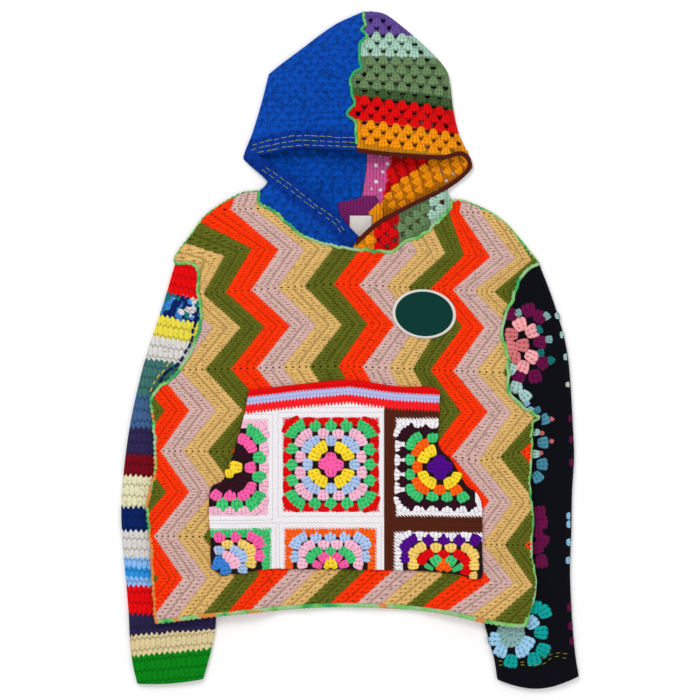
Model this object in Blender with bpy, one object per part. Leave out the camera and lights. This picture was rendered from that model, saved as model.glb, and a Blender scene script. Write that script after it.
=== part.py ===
"""Crochet patchwork hoodie, laid flat on its back, as one solid for each piece that was cut and sewn.

Seen from above, the hood points to +Y and the striped sleeve lies at -X; +Z is up from the table.
The origin is at the middle of the bounding box, on the table. All sizes below are in millimetres.
"""

import math

import bmesh
import bpy
import numpy as np

METRES = 0.001

# Cloth
WALL = 3.0  # worsted crochet, one layer
SEAM = 0.3  # gap left between two pieces at a seam
RIB = 1.3  # how far each ripple row stands out of the front
CLUSTER = 1.6  # how far each granny cluster stands out of the pocket
SLEEVE_HIGH = 8.5  # a flattened sleeve: two walls and the air between
FOLD_HIGH = 0.3  # share of the sleeve's height that its folded edges are rounded by

# Chevron ripple of the body
STRIPE_AT = ((-8, -382.0), (0, -186.0), (4, -24.0), (8, 121.0), (11, 217.0), (16, 372.0))
ZIGZAG = 50.0  # sideways swing of a stripe between its left and right points
POINT_TOP = 273.5  # height on the table of the first row of points
POINT_STEP = 61.5  # along the body from one row of points to the next
POINT_ROWS = 13
RIBS_A_STRIPE = 2

# Drape
TUCK_REACH = 44.0  # the body lies level this far past a sleeve's edge tucked under it
TUCK_RAMP = 64.0  # and then comes down to the table over this width
TUCK_TOP = -45.0  # where the sleeves begin to pass under the body
HEM_WAVE, HEM_WAVE_LENGTH, HEM_WAVE_REACH = 2.6, 92.0, 60.0
HOOD_LOFT, HOOD_LOFT_REACH = 27.0, 42.0

# Crochet stitches of the hood's granny stripe
CLUSTER_PITCH, ROUND_PITCH = 18.7, 12.1
HOLE_WIDE, HOLE_LONG = 5.4, 4.6
HOLE_SHIFT = 0.25  # of the pitch, one way and the other in turn
HOLE_MARGIN = 9.0  # solid cloth left along every edge
GRANNY_WIDE, GRANNY_FRONT_LONG, GRANNY_BACK_LONG = 156.0, 356.0, 298.0
BACK_LACE_SHARE = 0.34  # of the hood's back, the part that shows in the face opening

# Trim
BINDING_WIDE, BINDING_THICK = 8.0, 5.4
CORNER_RADIUS, CORNER_STEPS = 8.0, 7
LABEL_LEFT, LABEL_TOP, LABEL_WIDE, LABEL_LONG, LABEL_THICK = 2.0, 206.0, 33.0, 32.0, 1.0
PATCH_CENTRE, PATCH_HALF, PATCH_TURN = (111.0, 54.0), (48.0, 37.0), -6.0
PATCH_THICK, PATCH_RIM = 1.6, 0.9

# Outlines on the table: x, y
NECK_LEFT = ((3, 151), (-24, 156), (-60, 166), (-92, 188), (-112, 207), (-134, 219), (-137, 238))
NECK_RIGHT = ((3, 151), (20, 150), (62, 148), (84, 163), (108, 172), (129, 190), (148, 209), (152, 224))
BACK_NECK_LEFT = ((3, 197), (-50, 203), (-100, 219), (-137, 238))
BACK_NECK_RIGHT = ((3, 197), (55, 200), (110, 209), (152, 224))
SHOULDER_LEFT = ((-137, 238), (-166, 233), (-213, 204), (-236, 175), (-261, 141), (-262, 130))
SHOULDER_RIGHT = ((152, 224), (171, 223), (200, 211), (221, 199), (240, 182), (283, 130))
ARMHOLE_LEFT = (
    (-262, 130), (-231, 126), (-227, 86), (-223, 50), (-232, 12), (-257, -33), (-289, -60), (-297, -76),
)
ARMHOLE_RIGHT = (
    (283, 130), (258, 112), (243, 75), (227, 31), (236, -10), (237, -60), (258, -84), (283, -101),
)
SIDE_LEFT = (
    (-297, -76), (-291, -130), (-291, -187), (-301, -223), (-301, -252), (-296, -296), (-294, -342),
    (-289, -408),
)
SIDE_RIGHT = (
    (283, -101), (272, -112), (271, -150), (268, -202), (273, -255), (270, -300), (277, -352), (265, -402),
)
HEM = (
    (-289, -408), (-199, -397), (-123, -390), (-30, -384), (61, -386), (138, -393), (199, -406), (255, -414),
    (265, -402),
)

# Sleeves, from the armhole to the cuff: outer edge x, y, then inner edge x, y
SLEEVE_LEFT = (
    (-261, 141, -297, -76),
    (-268, 110, -297.5, -79),
    (-279, 72, -297, -83),
    (-291, 36, -293, -88),
    (-303, 0, -284, -96),
    (-313, -36, -268, -110),
    (-323, -78, -250, -134),
    (-332, -125, -235, -168),
    (-339, -180, -222, -212),
    (-343, -235, -213, -260),
    (-341, -290, -206, -320),
    (-336, -345, -202, -370),
    (-332, -395, -201, -407),
    (-330, -435, -206, -440),
    (-326, -470, -213, -468),
    (-319, -500, -220, -493),
)
SLEEVE_RIGHT = (
    (283, 130, 283, -101),
    (294, 103, 283.5, -104),
    (304, 76, 282.5, -108),
    (313, 48, 279, -113),
    (321, 20, 271, -121),
    (327, -12, 258, -135),
    (331, -55, 243, -159),
    (334, -110, 230, -191),
    (336, -160, 220, -229),
    (333, -215, 212, -270),
    (332, -270, 206, -320),
    (330, -330, 202, -365),
    (332, -385, 201, -404),
    (335, -430, 208, -434),
    (339, -465, 216, -463),
    (343, -489, 221, -494),
)
CUFF_BOW_LEFT, CUFF_BOW_RIGHT = 3.0, 15.8
BULGE_STATIONS = 4  # the armhole's curve dies out over this many rows of the tables

# Hood
CROWN_LEFT = ((-122, 413), (-105, 427), (-70, 453), (-45, 472), (-18, 490), (20, 507))
CROWN_RIGHT = ((151, 393), (144, 420), (118, 450), (84, 480), (55, 502), (36, 507), (20, 507))
HOOD_SIDE_LEFT = (
    (-137, 238), (-125, 250), (-126, 264), (-157, 283), (-158, 296), (-146, 327), (-133, 370),
    (-122, 413),
)
HOOD_SIDE_RIGHT = (
    (152, 224), (147, 240), (158, 252), (176, 264), (184, 276), (175, 298), (163, 325), (155, 360),
    (151, 393),
)
HOOD_SEAM = (
    (3, 151), (6, 220), (10, 297), (-2, 348), (3, 382), (15, 425), (18, 450), (22, 480), (20, 507),
)
BACK_SEAM = ((3, 197), (19, 236), (26, 300), (22, 382), (20, 430), (21, 480), (20, 507))
BRIM_LEFT = ((10, 297), (-34, 299), (-76, 301), (-118, 294), (-146, 288))
BINDING_BRIM = ((11, 297), (40, 293), (76, 290), (130, 287), (163, 287))
BINDING_FRONT = ((164, 268), (143, 250), (121, 233), (83, 212), (42, 189), (9, 160))
FACE_LEFT = ((2, 160), (2, 181), (-14, 200), (-43, 222), (-82, 252), (-128, 286))

# Pocket
POCKET = (
    (-151, -60), (-75, -51), (0, -45), (68, -54), (128, -57), (134, -80), (132, -140), (152, -165),
    (172, -200), (195, -225), (197, -300), (194, -341), (150, -333), (50, -329), (-60, -328),
    (-120, -327), (-199, -331), (-208, -277), (-209, -210), (-188, -192), (-171, -145), (-158, -95),
)
POCKET_LOW, POCKET_HIGH = (-220.0, -350.0), (206.0, -40.0)
POCKET_PITCH = 14.8

# Colours of the yarns, linear
ORANGE, TAN, BLUE, NAVY = (1.0, 0.08, 0.0), (0.72, 0.46, 0.14), (0.004, 0.09, 0.45), (0.005, 0.005, 0.02)
MINT, DENIM, WHITE = (0.3, 0.5, 0.4), (0.13, 0.2, 0.33), (0.85, 0.83, 0.85)
BROWN, GREEN = (0.07, 0.02, 0.01), (0.0, 0.04, 0.03)
YARN_ROUGHNESS = 0.95

# Grids and cutters
BLOCK_BOTTOM, CUTTER_BOTTOM, CUTTER_TOP = -5.0, -20.0, 120.0
HOOD_ROWS, HOOD_COLUMNS = 13, 8
CENTRE_GAP = 0.5  # at the hood's wavy centre seam
CLOSE_POINTS = 0.05  # points of a cutter nearer than this are one


def clear_scene():
    for thing in list(bpy.data.objects):
        bpy.data.objects.remove(thing, do_unlink=True)


# Curves


def smooth(points, each=4):
    """A Catmull-Rom curve through the points, with the given number of steps between two of them."""
    points = np.asarray(points, dtype=float)
    before = 2 * points[0] - points[1]
    after = 2 * points[-1] - points[-2]
    p = np.vstack([before, points, after])
    steps = np.arange(each)[:, None] / each
    spans = []
    for a, b, c, d in zip(p[:-3], p[1:-2], p[2:-1], p[3:]):
        spans.append(
            b + 0.5 * steps * (c - a + steps * (2 * a - 5 * b + 4 * c - d + steps * (3 * (b - c) + d - a)))
        )
    return np.vstack(spans + [points[-1:]])


def along(curve, share):
    """Points of a polyline at shares of its length from 0 to 1."""
    steps = np.linalg.norm(np.diff(curve, axis=0), axis=1)
    reach = np.concatenate([[0.0], np.cumsum(steps)]) / steps.sum()
    return np.stack([np.interp(share, reach, curve[:, axis]) for axis in (0, 1)], axis=-1)


def moved_out(curve, distance):
    """The polyline moved to its right by the distance, mitred at its corners."""
    way = np.diff(curve, axis=0)
    way /= np.linalg.norm(way, axis=1)[:, None]
    side = np.stack([way[:, 1], -way[:, 0]], axis=1)
    before = np.vstack([side[:1], side])
    after = np.vstack([side, side[-1:]])
    middle = before + after
    middle /= (middle * before).sum(axis=1)[:, None]
    return curve + distance * middle


def distance_to(x, y, curve):
    """Distance of each point to a polyline."""
    nearest = np.full(np.shape(x), np.inf)
    for (ax, ay), (bx, by) in zip(curve[:-1], curve[1:]):
        length2 = max((bx - ax) ** 2 + (by - ay) ** 2, 1e-9)
        share = np.clip(((x - ax) * (bx - ax) + (y - ay) * (by - ay)) / length2, 0, 1)
        gap = np.hypot(x - ax - share * (bx - ax), y - ay - share * (by - ay))
        nearest = np.minimum(nearest, gap)
    return nearest


def ease(share):
    share = np.clip(share, 0, 1)
    return share * share * (3 - 2 * share)


# Heights of the cloth above the table


def tuck(x, y, sleeve, side):
    """From 1 where the body lies on a sleeve to 0 where it lies on the table."""
    inner = np.array(sleeve)[:, 2:]
    order = np.argsort(inner[:, 1])
    edge = np.interp(y, inner[order, 1], inner[order, 0])
    past = side * (edge - x)  # how far the point is inside the sleeve's inner edge
    return ease(1 - (past - TUCK_REACH) / TUCK_RAMP) * ease(1 - (y - TUCK_TOP) / TUCK_RAMP)


def tucked(x, y):
    high = SLEEVE_HIGH + 5 * SEAM
    return high * np.maximum(tuck(x, y, SLEEVE_LEFT, -1), tuck(x, y, SLEEVE_RIGHT, 1))


def waved(x, y):
    wave = 0.5 + 0.5 * np.sin(2 * math.pi * x / HEM_WAVE_LENGTH)
    return HEM_WAVE * wave * np.exp(-np.clip(y - HEM[0][1], 0, None) / HEM_WAVE_REACH)


def swing_of(row):
    """Stripes point left in the odd rows of points and right in the even ones."""
    return ZIGZAG * (1 - row % 2)


def ruled(height, x, y):
    """A height read on the two nearest rows of points and run straight between them, as the stripes do."""
    row = np.clip(np.floor((POINT_TOP - y) / POINT_STEP), 0, POINT_ROWS - 2)
    share = (POINT_TOP - y) / POINT_STEP - row
    above, below = swing_of(row), swing_of(row + 1)
    base = x - (1 - share) * above - share * below
    high = height(base + above, POINT_TOP - POINT_STEP * row)
    low = height(base + below, POINT_TOP - POINT_STEP * (row + 1))
    return (1 - share) * high + share * low


def back_under(x, y):
    return ruled(tucked, x, y)


def front_under(x, y):
    """The front lies on the back and waves a little along the open hem."""
    return back_under(x, y) + WALL + SEAM + ruled(waved, x, y)


def front_over(x, y):
    return front_under(x, y) + WALL


def hood_outline():
    left = np.vstack([smooth(NECK_LEFT), smooth(HOOD_SIDE_LEFT), smooth(CROWN_LEFT)])
    right = np.vstack([smooth(NECK_RIGHT), smooth(HOOD_SIDE_RIGHT), smooth(CROWN_RIGHT)])
    return np.vstack([left, right[::-1]])


def hood_under(x, y, outline):
    """The hood's upper layer rises from its folded edge and from the neck seam."""
    rise = 1 - np.exp(-distance_to(x, y, outline) / HOOD_LOFT_REACH)
    return WALL + SEAM + HOOD_LOFT * rise


# Meshes


def add_object(name, points, faces, colour=None):
    mesh = bpy.data.meshes.new(name)
    mesh.from_pydata((np.asarray(points, dtype=float) * METRES).tolist(), [], faces)
    shape = bmesh.new()
    shape.from_mesh(mesh)
    bmesh.ops.recalc_face_normals(shape, faces=shape.faces)
    if shape.calc_volume(signed=True) < 0:
        bmesh.ops.reverse_faces(shape, faces=shape.faces)
    shape.to_mesh(mesh)
    shape.free()
    thing = bpy.data.objects.new(name, mesh)
    bpy.context.scene.collection.objects.link(thing)
    if colour is None:
        thing.hide_render = True
        thing.display_type = "WIRE"
        return thing
    material = bpy.data.materials.new(name + "_yarn")
    material.use_nodes = True
    shader = material.node_tree.nodes["Principled BSDF"]
    shader.inputs["Base Color"].default_value = (*colour, 1.0)
    shader.inputs["Roughness"].default_value = YARN_ROUGHNESS
    shader.inputs["Metallic"].default_value = 0.0
    mesh.materials.append(material)
    return thing


def lay(xy, height):
    return np.dstack([xy, height])


def cells_of(rows, columns, around, holes):
    """Corner indices of each kept cell of a grid, counter-clockwise."""
    last = columns if around else columns - 1
    for row in range(rows - 1):
        for column in range(last):
            if (row, column) in holes:
                continue
            a, b = row * columns + column, row * columns + (column + 1) % columns
            yield a, b, b + columns, a + columns


def wall(name, outer, inner, colour, around=False, holes=()):
    """A closed wall between an outer and an inner grid, less the cells in holes."""
    rows, columns = outer.shape[:2]
    count = rows * columns
    cells = list(cells_of(rows, columns, around, set(holes)))
    edges = {(cell[k], cell[(k + 1) % 4]) for cell in cells for k in range(4)}
    faces = []
    for a, b, c, d in cells:
        faces += [(a, b, c), (a, c, d)]
        faces += [(c + count, b + count, a + count), (d + count, c + count, a + count)]
    rim = [(a, b) for a, b in edges if (b, a) not in edges]
    faces += [(b, a, a + count, b + count) for a, b in sorted(rim)]
    points = np.vstack([outer.reshape(-1, 3), inner.reshape(-1, 3)])
    used = sorted({index for face in faces for index in face})
    place = {index: at for at, index in enumerate(used)}
    faces = [tuple(place[index] for index in face) for face in faces]
    return add_object(name, points[used], faces, colour)


def block(name, top, bottom, colour=None, poked=None):
    """A closed block under a grid, down to a level; poked gives each cell a raised or sunk middle."""
    rows, columns = top.shape[:2]
    points = list(top.reshape(-1, 3))
    faces = []
    for row, column in np.ndindex(rows - 1, columns - 1):
        a = row * columns + column
        b, c, d = a + 1, a + columns + 1, a + columns
        if poked is None:
            faces += [(a, b, c), (a, c, d)]
            continue
        middle = len(points)
        points.append(poked[row, column])
        faces += [(a, b, middle), (b, c, middle), (c, d, middle), (d, a, middle)]
    index = np.arange(rows * columns).reshape(rows, columns)
    rim = [*index[0, :-1], *index[:-1, -1], *index[-1, :0:-1], *index[:0:-1, 0]]
    base = len(points)
    points += [(*points[at][:2], bottom) for at in rim]
    low = [base + at for at in range(len(rim))]
    for at, corner in enumerate(rim):
        after = (at + 1) % len(rim)
        faces.append((corner, low[at], low[after], rim[after]))
    faces.append(tuple(low))
    faces = [tuple(int(at) for at in face) for face in faces]
    return add_object(name, points, faces, colour)


def prism(name, outline, bottom=CUTTER_BOTTOM, top=CUTTER_TOP):
    """An upright cutter with the outline as its plan."""
    outline = np.asarray(outline, dtype=float)
    keep = np.linalg.norm(outline - np.roll(outline, 1, axis=0), axis=1) > CLOSE_POINTS
    outline = outline[keep]
    count = len(outline)
    points = [(x, y, bottom) for x, y in outline] + [(x, y, top) for x, y in outline]
    faces = [tuple(range(count))[::-1], tuple(range(count, 2 * count))]
    faces += [(a, (a + 1) % count, (a + 1) % count + count, a + count) for a in range(count)]
    return add_object(name, points, faces)


def boolean(thing, cutter, operation):
    change = thing.modifiers.new(cutter.name, "BOOLEAN")
    change.operation = operation
    change.solver = "EXACT"
    change.object = cutter


# The body


def ripple_grid():
    """A grid whose columns run along the ripple rows and whose rows join their points."""
    stripes = np.array(STRIPE_AT)
    quarter = 1 / (2 * RIBS_A_STRIPE)
    stripe = np.arange(stripes[0, 0], stripes[-1, 0] + quarter / 2, quarter)
    x = np.interp(stripe, stripes[:, 0], stripes[:, 1])
    row = np.arange(POINT_ROWS)[::-1]
    across = x[None, :] + swing_of(row)[:, None]
    along_body = np.repeat(POINT_TOP - POINT_STEP * row[:, None], len(x), axis=1)
    crest = np.repeat((np.arange(len(x)) % 2)[None, :], len(row), axis=0)
    return np.dstack([across, along_body]), crest


def body_outline(neck_left, neck_right):
    """The panel's plan, counter-clockwise from the left shoulder's neck end."""
    left = [smooth(SHOULDER_LEFT, 3), np.array(ARMHOLE_LEFT, float), smooth(SIDE_LEFT, 3), smooth(HEM, 3)]
    right = [smooth(SHOULDER_RIGHT, 3), np.array(ARMHOLE_RIGHT, float), smooth(SIDE_RIGHT, 3)]
    back_up = [curve[::-1] for curve in right[::-1]]
    return np.vstack(left + back_up + [neck_right[::-1], neck_left[1:]])


def build_body(shares_left, shares_right):
    front_neck = (
        moved_out(along(smooth(NECK_LEFT), shares_left), -SEAM),
        moved_out(along(smooth(NECK_RIGHT), shares_right), SEAM),
    )
    back_neck = (
        moved_out(along(smooth(BACK_NECK_LEFT), shares_left), -SEAM),
        moved_out(along(smooth(BACK_NECK_RIGHT), shares_right), SEAM),
    )
    ripple, crest = ripple_grid()
    crests = ripple[:, 1::2]
    x, y = crests[..., 0], crests[..., 1]
    over, under = lay(crests, back_under(x, y) + WALL), lay(crests, back_under(x, y))
    back = wall("back_panel", over, under, TAN)
    boolean(back, prism("back_cut", body_outline(*back_neck)), "INTERSECT")

    top = front_over(ripple[..., 0], ripple[..., 1]) + RIB * crest
    front = block("front_panel", lay(ripple, top), BLOCK_BOTTOM, ORANGE)
    boolean(front, prism("front_cut", body_outline(*front_neck)), "INTERSECT")
    hollow = block("front_hollow", lay(crests, front_under(x, y)), 2 * BLOCK_BOTTOM)
    boolean(front, hollow, "DIFFERENCE")
    return block("on_front", lay(crests, front_over(x, y) + RIB + SEAM), 2 * BLOCK_BOTTOM)


def build_pocket(on_front):
    """A rug of granny clusters that lies on the front and takes its form."""
    count = [int(round((high - low) / POCKET_PITCH)) for low, high in zip(POCKET_LOW, POCKET_HIGH)]
    x = np.linspace(POCKET_LOW[0], POCKET_HIGH[0], count[0] + 1)
    y = np.linspace(POCKET_LOW[1], POCKET_HIGH[1], count[1] + 1)
    knots = np.dstack(np.meshgrid(x, y))
    middles = np.dstack(np.meshgrid((x[1:] + x[:-1]) / 2, (y[1:] + y[:-1]) / 2))
    rest = RIB + SEAM + WALL
    top = lay(knots, front_over(knots[..., 0], knots[..., 1]) + rest + CLUSTER)
    sunk = lay(middles, front_over(middles[..., 0], middles[..., 1]) + rest)
    pocket = block("pocket", top, BLOCK_BOTTOM, WHITE, poked=sunk)
    boolean(pocket, prism("pocket_cut", smooth(POCKET + POCKET[:1], 2)[:-1]), "INTERSECT")
    boolean(pocket, on_front, "DIFFERENCE")


def build_chest_patch(on_front):
    """A plain oval patch with a raised rim."""
    turns = np.linspace(0, 2 * math.pi, 33)[:-1]
    rings = ((0.86, 0.0), (0.89, PATCH_RIM), (0.97, PATCH_RIM), (1.0, 0.3 * PATCH_RIM))
    level = float(front_over(np.array(PATCH_CENTRE[0]), np.array(PATCH_CENTRE[1]))) + RIB + SEAM + PATCH_THICK
    lean = math.radians(PATCH_TURN)
    points = []
    for share, lift in rings + ((1.0, BLOCK_BOTTOM - level),):
        across, up = share * PATCH_HALF[0] * np.cos(turns), share * PATCH_HALF[1] * np.sin(turns)
        x = PATCH_CENTRE[0] + across * math.cos(lean) - up * math.sin(lean)
        y = PATCH_CENTRE[1] + across * math.sin(lean) + up * math.cos(lean)
        points += list(zip(x, y, np.full(len(turns), level + lift)))
    count = len(turns)
    faces = [tuple(range(count)), tuple(range(4 * count, 5 * count))]
    for ring in range(4):
        for at in range(count):
            a, b = ring * count + at, ring * count + (at + 1) % count
            faces.append((a, b, b + count, a + count))
    patch = add_object("chest_patch", points, faces, GREEN)
    boolean(patch, on_front, "DIFFERENCE")


# The sleeves


def sleeve_rings(table, armhole, bow, side):
    """Outer and inner rings of a flattened tube, one for each row of the table."""
    table = np.array(table, dtype=float)
    seam = moved_out(np.array(armhole, dtype=float), side * SEAM)
    share = np.linspace(0, 1, len(armhole))
    table[0] = [*seam[0], *seam[-1]]
    bulge = seam - (seam[0] + share[:, None] * (seam[-1] - seam[0]))
    outer, inner = [], []
    flat = np.full(len(share) - 2, 0.0)
    for station, (ox, oy, ix, iy) in enumerate(table):
        start, end = np.array([ox, oy]), np.array([ix, iy])
        plan = start + share[:, None] * (end - start)
        plan = plan + max(0.0, 1 - station / BULGE_STATIONS) * bulge
        droop = bow * max(0.0, station - len(table) + 3) / 2
        plan[:, 1] -= droop * np.sin(math.pi * share)
        inset = WALL / np.linalg.norm(end - start)
        inside = plan.copy()
        inside[0] = plan[0] + inset * len(share) * (plan[1] - plan[0])
        inside[-1] = plan[-1] + inset * len(share) * (plan[-2] - plan[-1])
        edge = FOLD_HIGH * SLEEVE_HIGH
        low = np.concatenate([[edge], flat, [edge]])
        thin = np.concatenate([[0.2], flat + SLEEVE_HIGH / 2 - WALL, [0.2]])
        bottom, top = np.column_stack([plan, low]), np.column_stack([plan, SLEEVE_HIGH - low])
        outer.append(np.vstack([bottom, top[::-1]]))
        bottom = np.column_stack([inside, SLEEVE_HIGH / 2 - thin])
        top = np.column_stack([inside, SLEEVE_HIGH / 2 + thin])
        inner.append(np.vstack([bottom, top[::-1]]))
    return np.array(outer), np.array(inner)


def build_sleeves():
    for name, table, armhole, bow, side, colour in (
        ("sleeve_left", SLEEVE_LEFT, ARMHOLE_LEFT, CUFF_BOW_LEFT, 1, DENIM),
        ("sleeve_right", SLEEVE_RIGHT, ARMHOLE_RIGHT, CUFF_BOW_RIGHT, -1, NAVY),
    ):
        outer, inner = sleeve_rings(table, armhole, bow, side)
        wall(name, outer, inner, colour, around=True)


# The hood


class HoodHalf:
    """Four boundary curves of one half's layer; a grid between them is a Coons patch."""

    def __init__(self, neck, crown, side_curve, seam, sign):
        self.neck, self.side_curve, self.sign = smooth(neck), smooth(side_curve), sign
        self.crown = smooth(crown)[::-1]
        stations = along(smooth(seam), np.linspace(0, 1, HOOD_ROWS + 1))
        self.seam = stations + np.array([0.5 * CENTRE_GAP * sign, 0])

    def grid(self, across, up):
        """across runs from the centre seam to the folded side, up from the neck to the crown."""
        rows = len(up)
        low, high = along(self.neck, across), along(self.crown, across)
        knots = np.linspace(0, 1, HOOD_ROWS + 1)
        left = np.stack([np.interp(up[:, 0], knots, self.seam[:, axis]) for axis in (0, 1)], axis=-1)
        right = along(self.side_curve, up[:, -1])
        low[..., 0] += 0.5 * CENTRE_GAP * self.sign * (1 - across)
        high[..., 0] += 0.5 * CENTRE_GAP * self.sign * (1 - across)
        a, u = across[..., None], up[..., None]
        corners = (1 - a) * (1 - u) * self.seam[0] + a * (1 - u) * self.side_curve[0]
        corners = corners + (1 - a) * u * self.seam[-1] + a * u * self.side_curve[-1]
        sides = (1 - a) * left[:rows, None] + a * right[:rows, None]
        return (1 - u) * low + u * high + sides - corners


def even_shares(rows, columns):
    across, up = np.meshgrid(np.linspace(0, 1, columns + 1), np.linspace(0, 1, rows + 1))
    return across, up


def lace_shares(width, height, top=1.0):
    """Shares of a grid whose odd cells in odd rows are the holes between the clusters."""
    rounds, clusters = int(height * top / ROUND_PITCH), int(width / CLUSTER_PITCH)
    half_wide, half_long = HOLE_WIDE / width / 2, HOLE_LONG / height / 2
    across, up = [], []
    for row in range(rounds):
        middle = (row + 0.5) * ROUND_PITCH / height
        shift = HOLE_SHIFT if row % 2 else -HOLE_SHIFT
        centres = (np.arange(clusters) + 0.5 + shift) * CLUSTER_PITCH / width
        line = np.sort(np.concatenate([[0, 1], centres - half_wide, centres + half_wide]))
        across += [line, line]
        up += [np.full(len(line), middle - half_long), np.full(len(line), middle + half_long)]
    across = np.array([np.linspace(0, 1, len(across[0]))] + across)
    up = np.array([np.zeros(across.shape[1])] + up)
    holes = [(2 * row + 1, 2 * at + 1) for row in range(rounds) for at in range(clusters)]
    knots = np.linspace(0, 1, HOOD_ROWS + 1)
    rest = knots[knots > up[-1, 0] + half_long]
    across = np.vstack([across] + [across[:1]] * len(rest))
    up = np.vstack([up, np.repeat(rest[:, None], up.shape[1], axis=1)])
    return across, up, holes


def inside(x, y, outline):
    odd = False
    for (ax, ay), (bx, by) in zip(outline, np.roll(outline, -1, axis=0)):
        if (ay > y) != (by > y) and x < ax + (y - ay) / (by - ay) * (bx - ax):
            odd = not odd
    return odd


def binding_path():
    """Along the brim, round the corner on an arc, and down the front edge to the neck point."""
    brim, front = smooth(BINDING_BRIM, 4), smooth(BINDING_FRONT, 4)
    way_in = brim[-1] - brim[-2]
    way_out = front[1] - front[0]
    first, last = math.atan2(way_in[1], way_in[0]), math.atan2(way_out[1], way_out[0])
    angles = np.linspace(first + math.pi / 2, last + math.pi / 2, CORNER_STEPS)[1:]
    right = np.array([way_in[1], -way_in[0]]) / np.linalg.norm(way_in)
    centre = brim[-1] + CORNER_RADIUS * right
    arc = centre + CORNER_RADIUS * np.column_stack([np.cos(angles), np.sin(angles)])
    return np.vstack([brim, arc, front[1:]])


def face_outline(binding, grow):
    """Plan of the face opening, grown past the binding on the granny side."""
    right = moved_out(binding, -(BINDING_WIDE / 2 + grow))
    left = smooth(BRIM_LEFT[:-1] + ((-136, 290),), 4)
    join = np.array([[left[0][0], right[0][1]]])
    point = np.array([[right[-1][0] - 4, right[-1][1] - 2]])
    return np.vstack([join, right, point, np.array(FACE_LEFT, dtype=float), left[::-1]])


def clear_holes(grid, holes, outline, opening=None):
    """The holes that keep their margin from the outline and lie outside the opening."""
    kept = []
    for row, column in holes:
        x, y = grid[row : row + 2, column : column + 2].reshape(-1, 2).mean(axis=0)
        open_here = opening is not None and inside(x, y, opening)
        if not open_here and distance_to(x, y, outline) > HOLE_MARGIN:
            kept.append((row, column))
    return kept


def build_hood():
    outline = hood_outline()
    binding = binding_path()
    opening = face_outline(binding, SEAM)
    cut = prism("face_cut", opening, WALL + SEAM / 2)

    left_front = HoodHalf(NECK_LEFT, CROWN_LEFT, HOOD_SIDE_LEFT, HOOD_SEAM, -1)
    left_back = HoodHalf(BACK_NECK_LEFT, CROWN_LEFT, HOOD_SIDE_LEFT, BACK_SEAM, -1)
    across, up = even_shares(HOOD_ROWS, HOOD_COLUMNS)
    front, back = left_front.grid(across, up), left_back.grid(across, up)
    rise = hood_under(front[..., 0], front[..., 1], outline)
    rise[:, -1] = WALL + SEAM
    flat = np.zeros(rise.shape)
    outer = np.concatenate([lay(front, rise + WALL), lay(back, flat)[:, ::-1]], axis=1)
    pulled = np.array([WALL, 0.0])
    front_in, back_in = front.copy(), back.copy()
    front_in[:, -1] += pulled
    back_in[:, -1] += pulled
    inner = np.concatenate([lay(front_in, rise), lay(back_in, flat + WALL)[:, ::-1]], axis=1)
    hood_left = wall("hood_left", outer, inner, BLUE)
    boolean(hood_left, cut, "DIFFERENCE")

    right_front = HoodHalf(NECK_RIGHT, CROWN_RIGHT, HOOD_SIDE_RIGHT, HOOD_SEAM, 1)
    right_back = HoodHalf(BACK_NECK_RIGHT, CROWN_RIGHT, HOOD_SIDE_RIGHT, BACK_SEAM, 1)
    across, up, holes = lace_shares(GRANNY_WIDE, GRANNY_FRONT_LONG)
    front = right_front.grid(across, up)
    holes = clear_holes(front, holes, outline, face_outline(binding, HOLE_MARGIN))
    rise = hood_under(front[..., 0], front[..., 1], outline)
    granny = wall("hood_right_front", lay(front, rise + WALL), lay(front, rise), MINT, holes=holes)
    boolean(granny, cut, "DIFFERENCE")

    across_back, up_back, holes = lace_shares(GRANNY_WIDE, GRANNY_BACK_LONG, BACK_LACE_SHARE)
    back = right_back.grid(across_back, up_back)
    holes = clear_holes(back, holes, outline)
    flat = np.zeros(back.shape[:2])
    wall("hood_right_back", lay(back, flat + WALL), lay(back, flat), MINT, holes=holes)
    build_binding(binding, outline)
    return np.linspace(0, 1, HOOD_COLUMNS + 1), across[0]


def build_binding(path, outline):
    """A folded strip of crochet carried along the granny edge of the face opening."""
    level = hood_under(path[:, 0], path[:, 1], outline) + (WALL - BINDING_THICK) / 2
    profile = ((1, 0.25), (1, 0.75), (0.6, 1), (-0.6, 1), (-1, 0.75), (-1, 0.25), (-0.6, 0), (0.6, 0))
    rings = []
    for share, lift in profile:
        edge = moved_out(path, share * BINDING_WIDE / 2)
        rings.append(np.column_stack([edge, level + lift * BINDING_THICK]))
    rings = np.array(rings).transpose(1, 0, 2)
    rows, columns = rings.shape[:2]
    faces = list(cells_of(rows, columns, True, set()))
    faces += [tuple(range(columns))[::-1], tuple(range((rows - 1) * columns, rows * columns))]
    add_object("hood_binding", rings.reshape(-1, 3), faces, BROWN)


def build_label():
    """The blank neck label, on the inside of the back."""
    across = [LABEL_LEFT, LABEL_LEFT + LABEL_WIDE]
    plan = np.dstack(np.meshgrid(across, [LABEL_TOP - LABEL_LONG, LABEL_TOP]))
    level = np.full(plan.shape[:2], WALL + SEAM)
    wall("neck_label", lay(plan, level + LABEL_THICK), lay(plan, level), WHITE)


def main():
    clear_scene()
    shares_left, shares_right = build_hood()
    on_front = build_body(shares_left, shares_right)
    build_pocket(on_front)
    build_chest_patch(on_front)
    build_sleeves()
    build_label()


main()
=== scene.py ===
"""Looks of the crocheted patchwork hoodie, laid flat on its back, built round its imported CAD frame.

Each piece of cloth is a closed thin shell on the outline and at the height of the CAD solid that it
stands for. Lengths are in millimetres in the row frame until a mesh is made: the hood points to +Y,
the striped sleeve lies at -X and +Z is up from the table.
"""

import logging
import math
from dataclasses import dataclass
from enum import Enum
from functools import reduce

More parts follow.
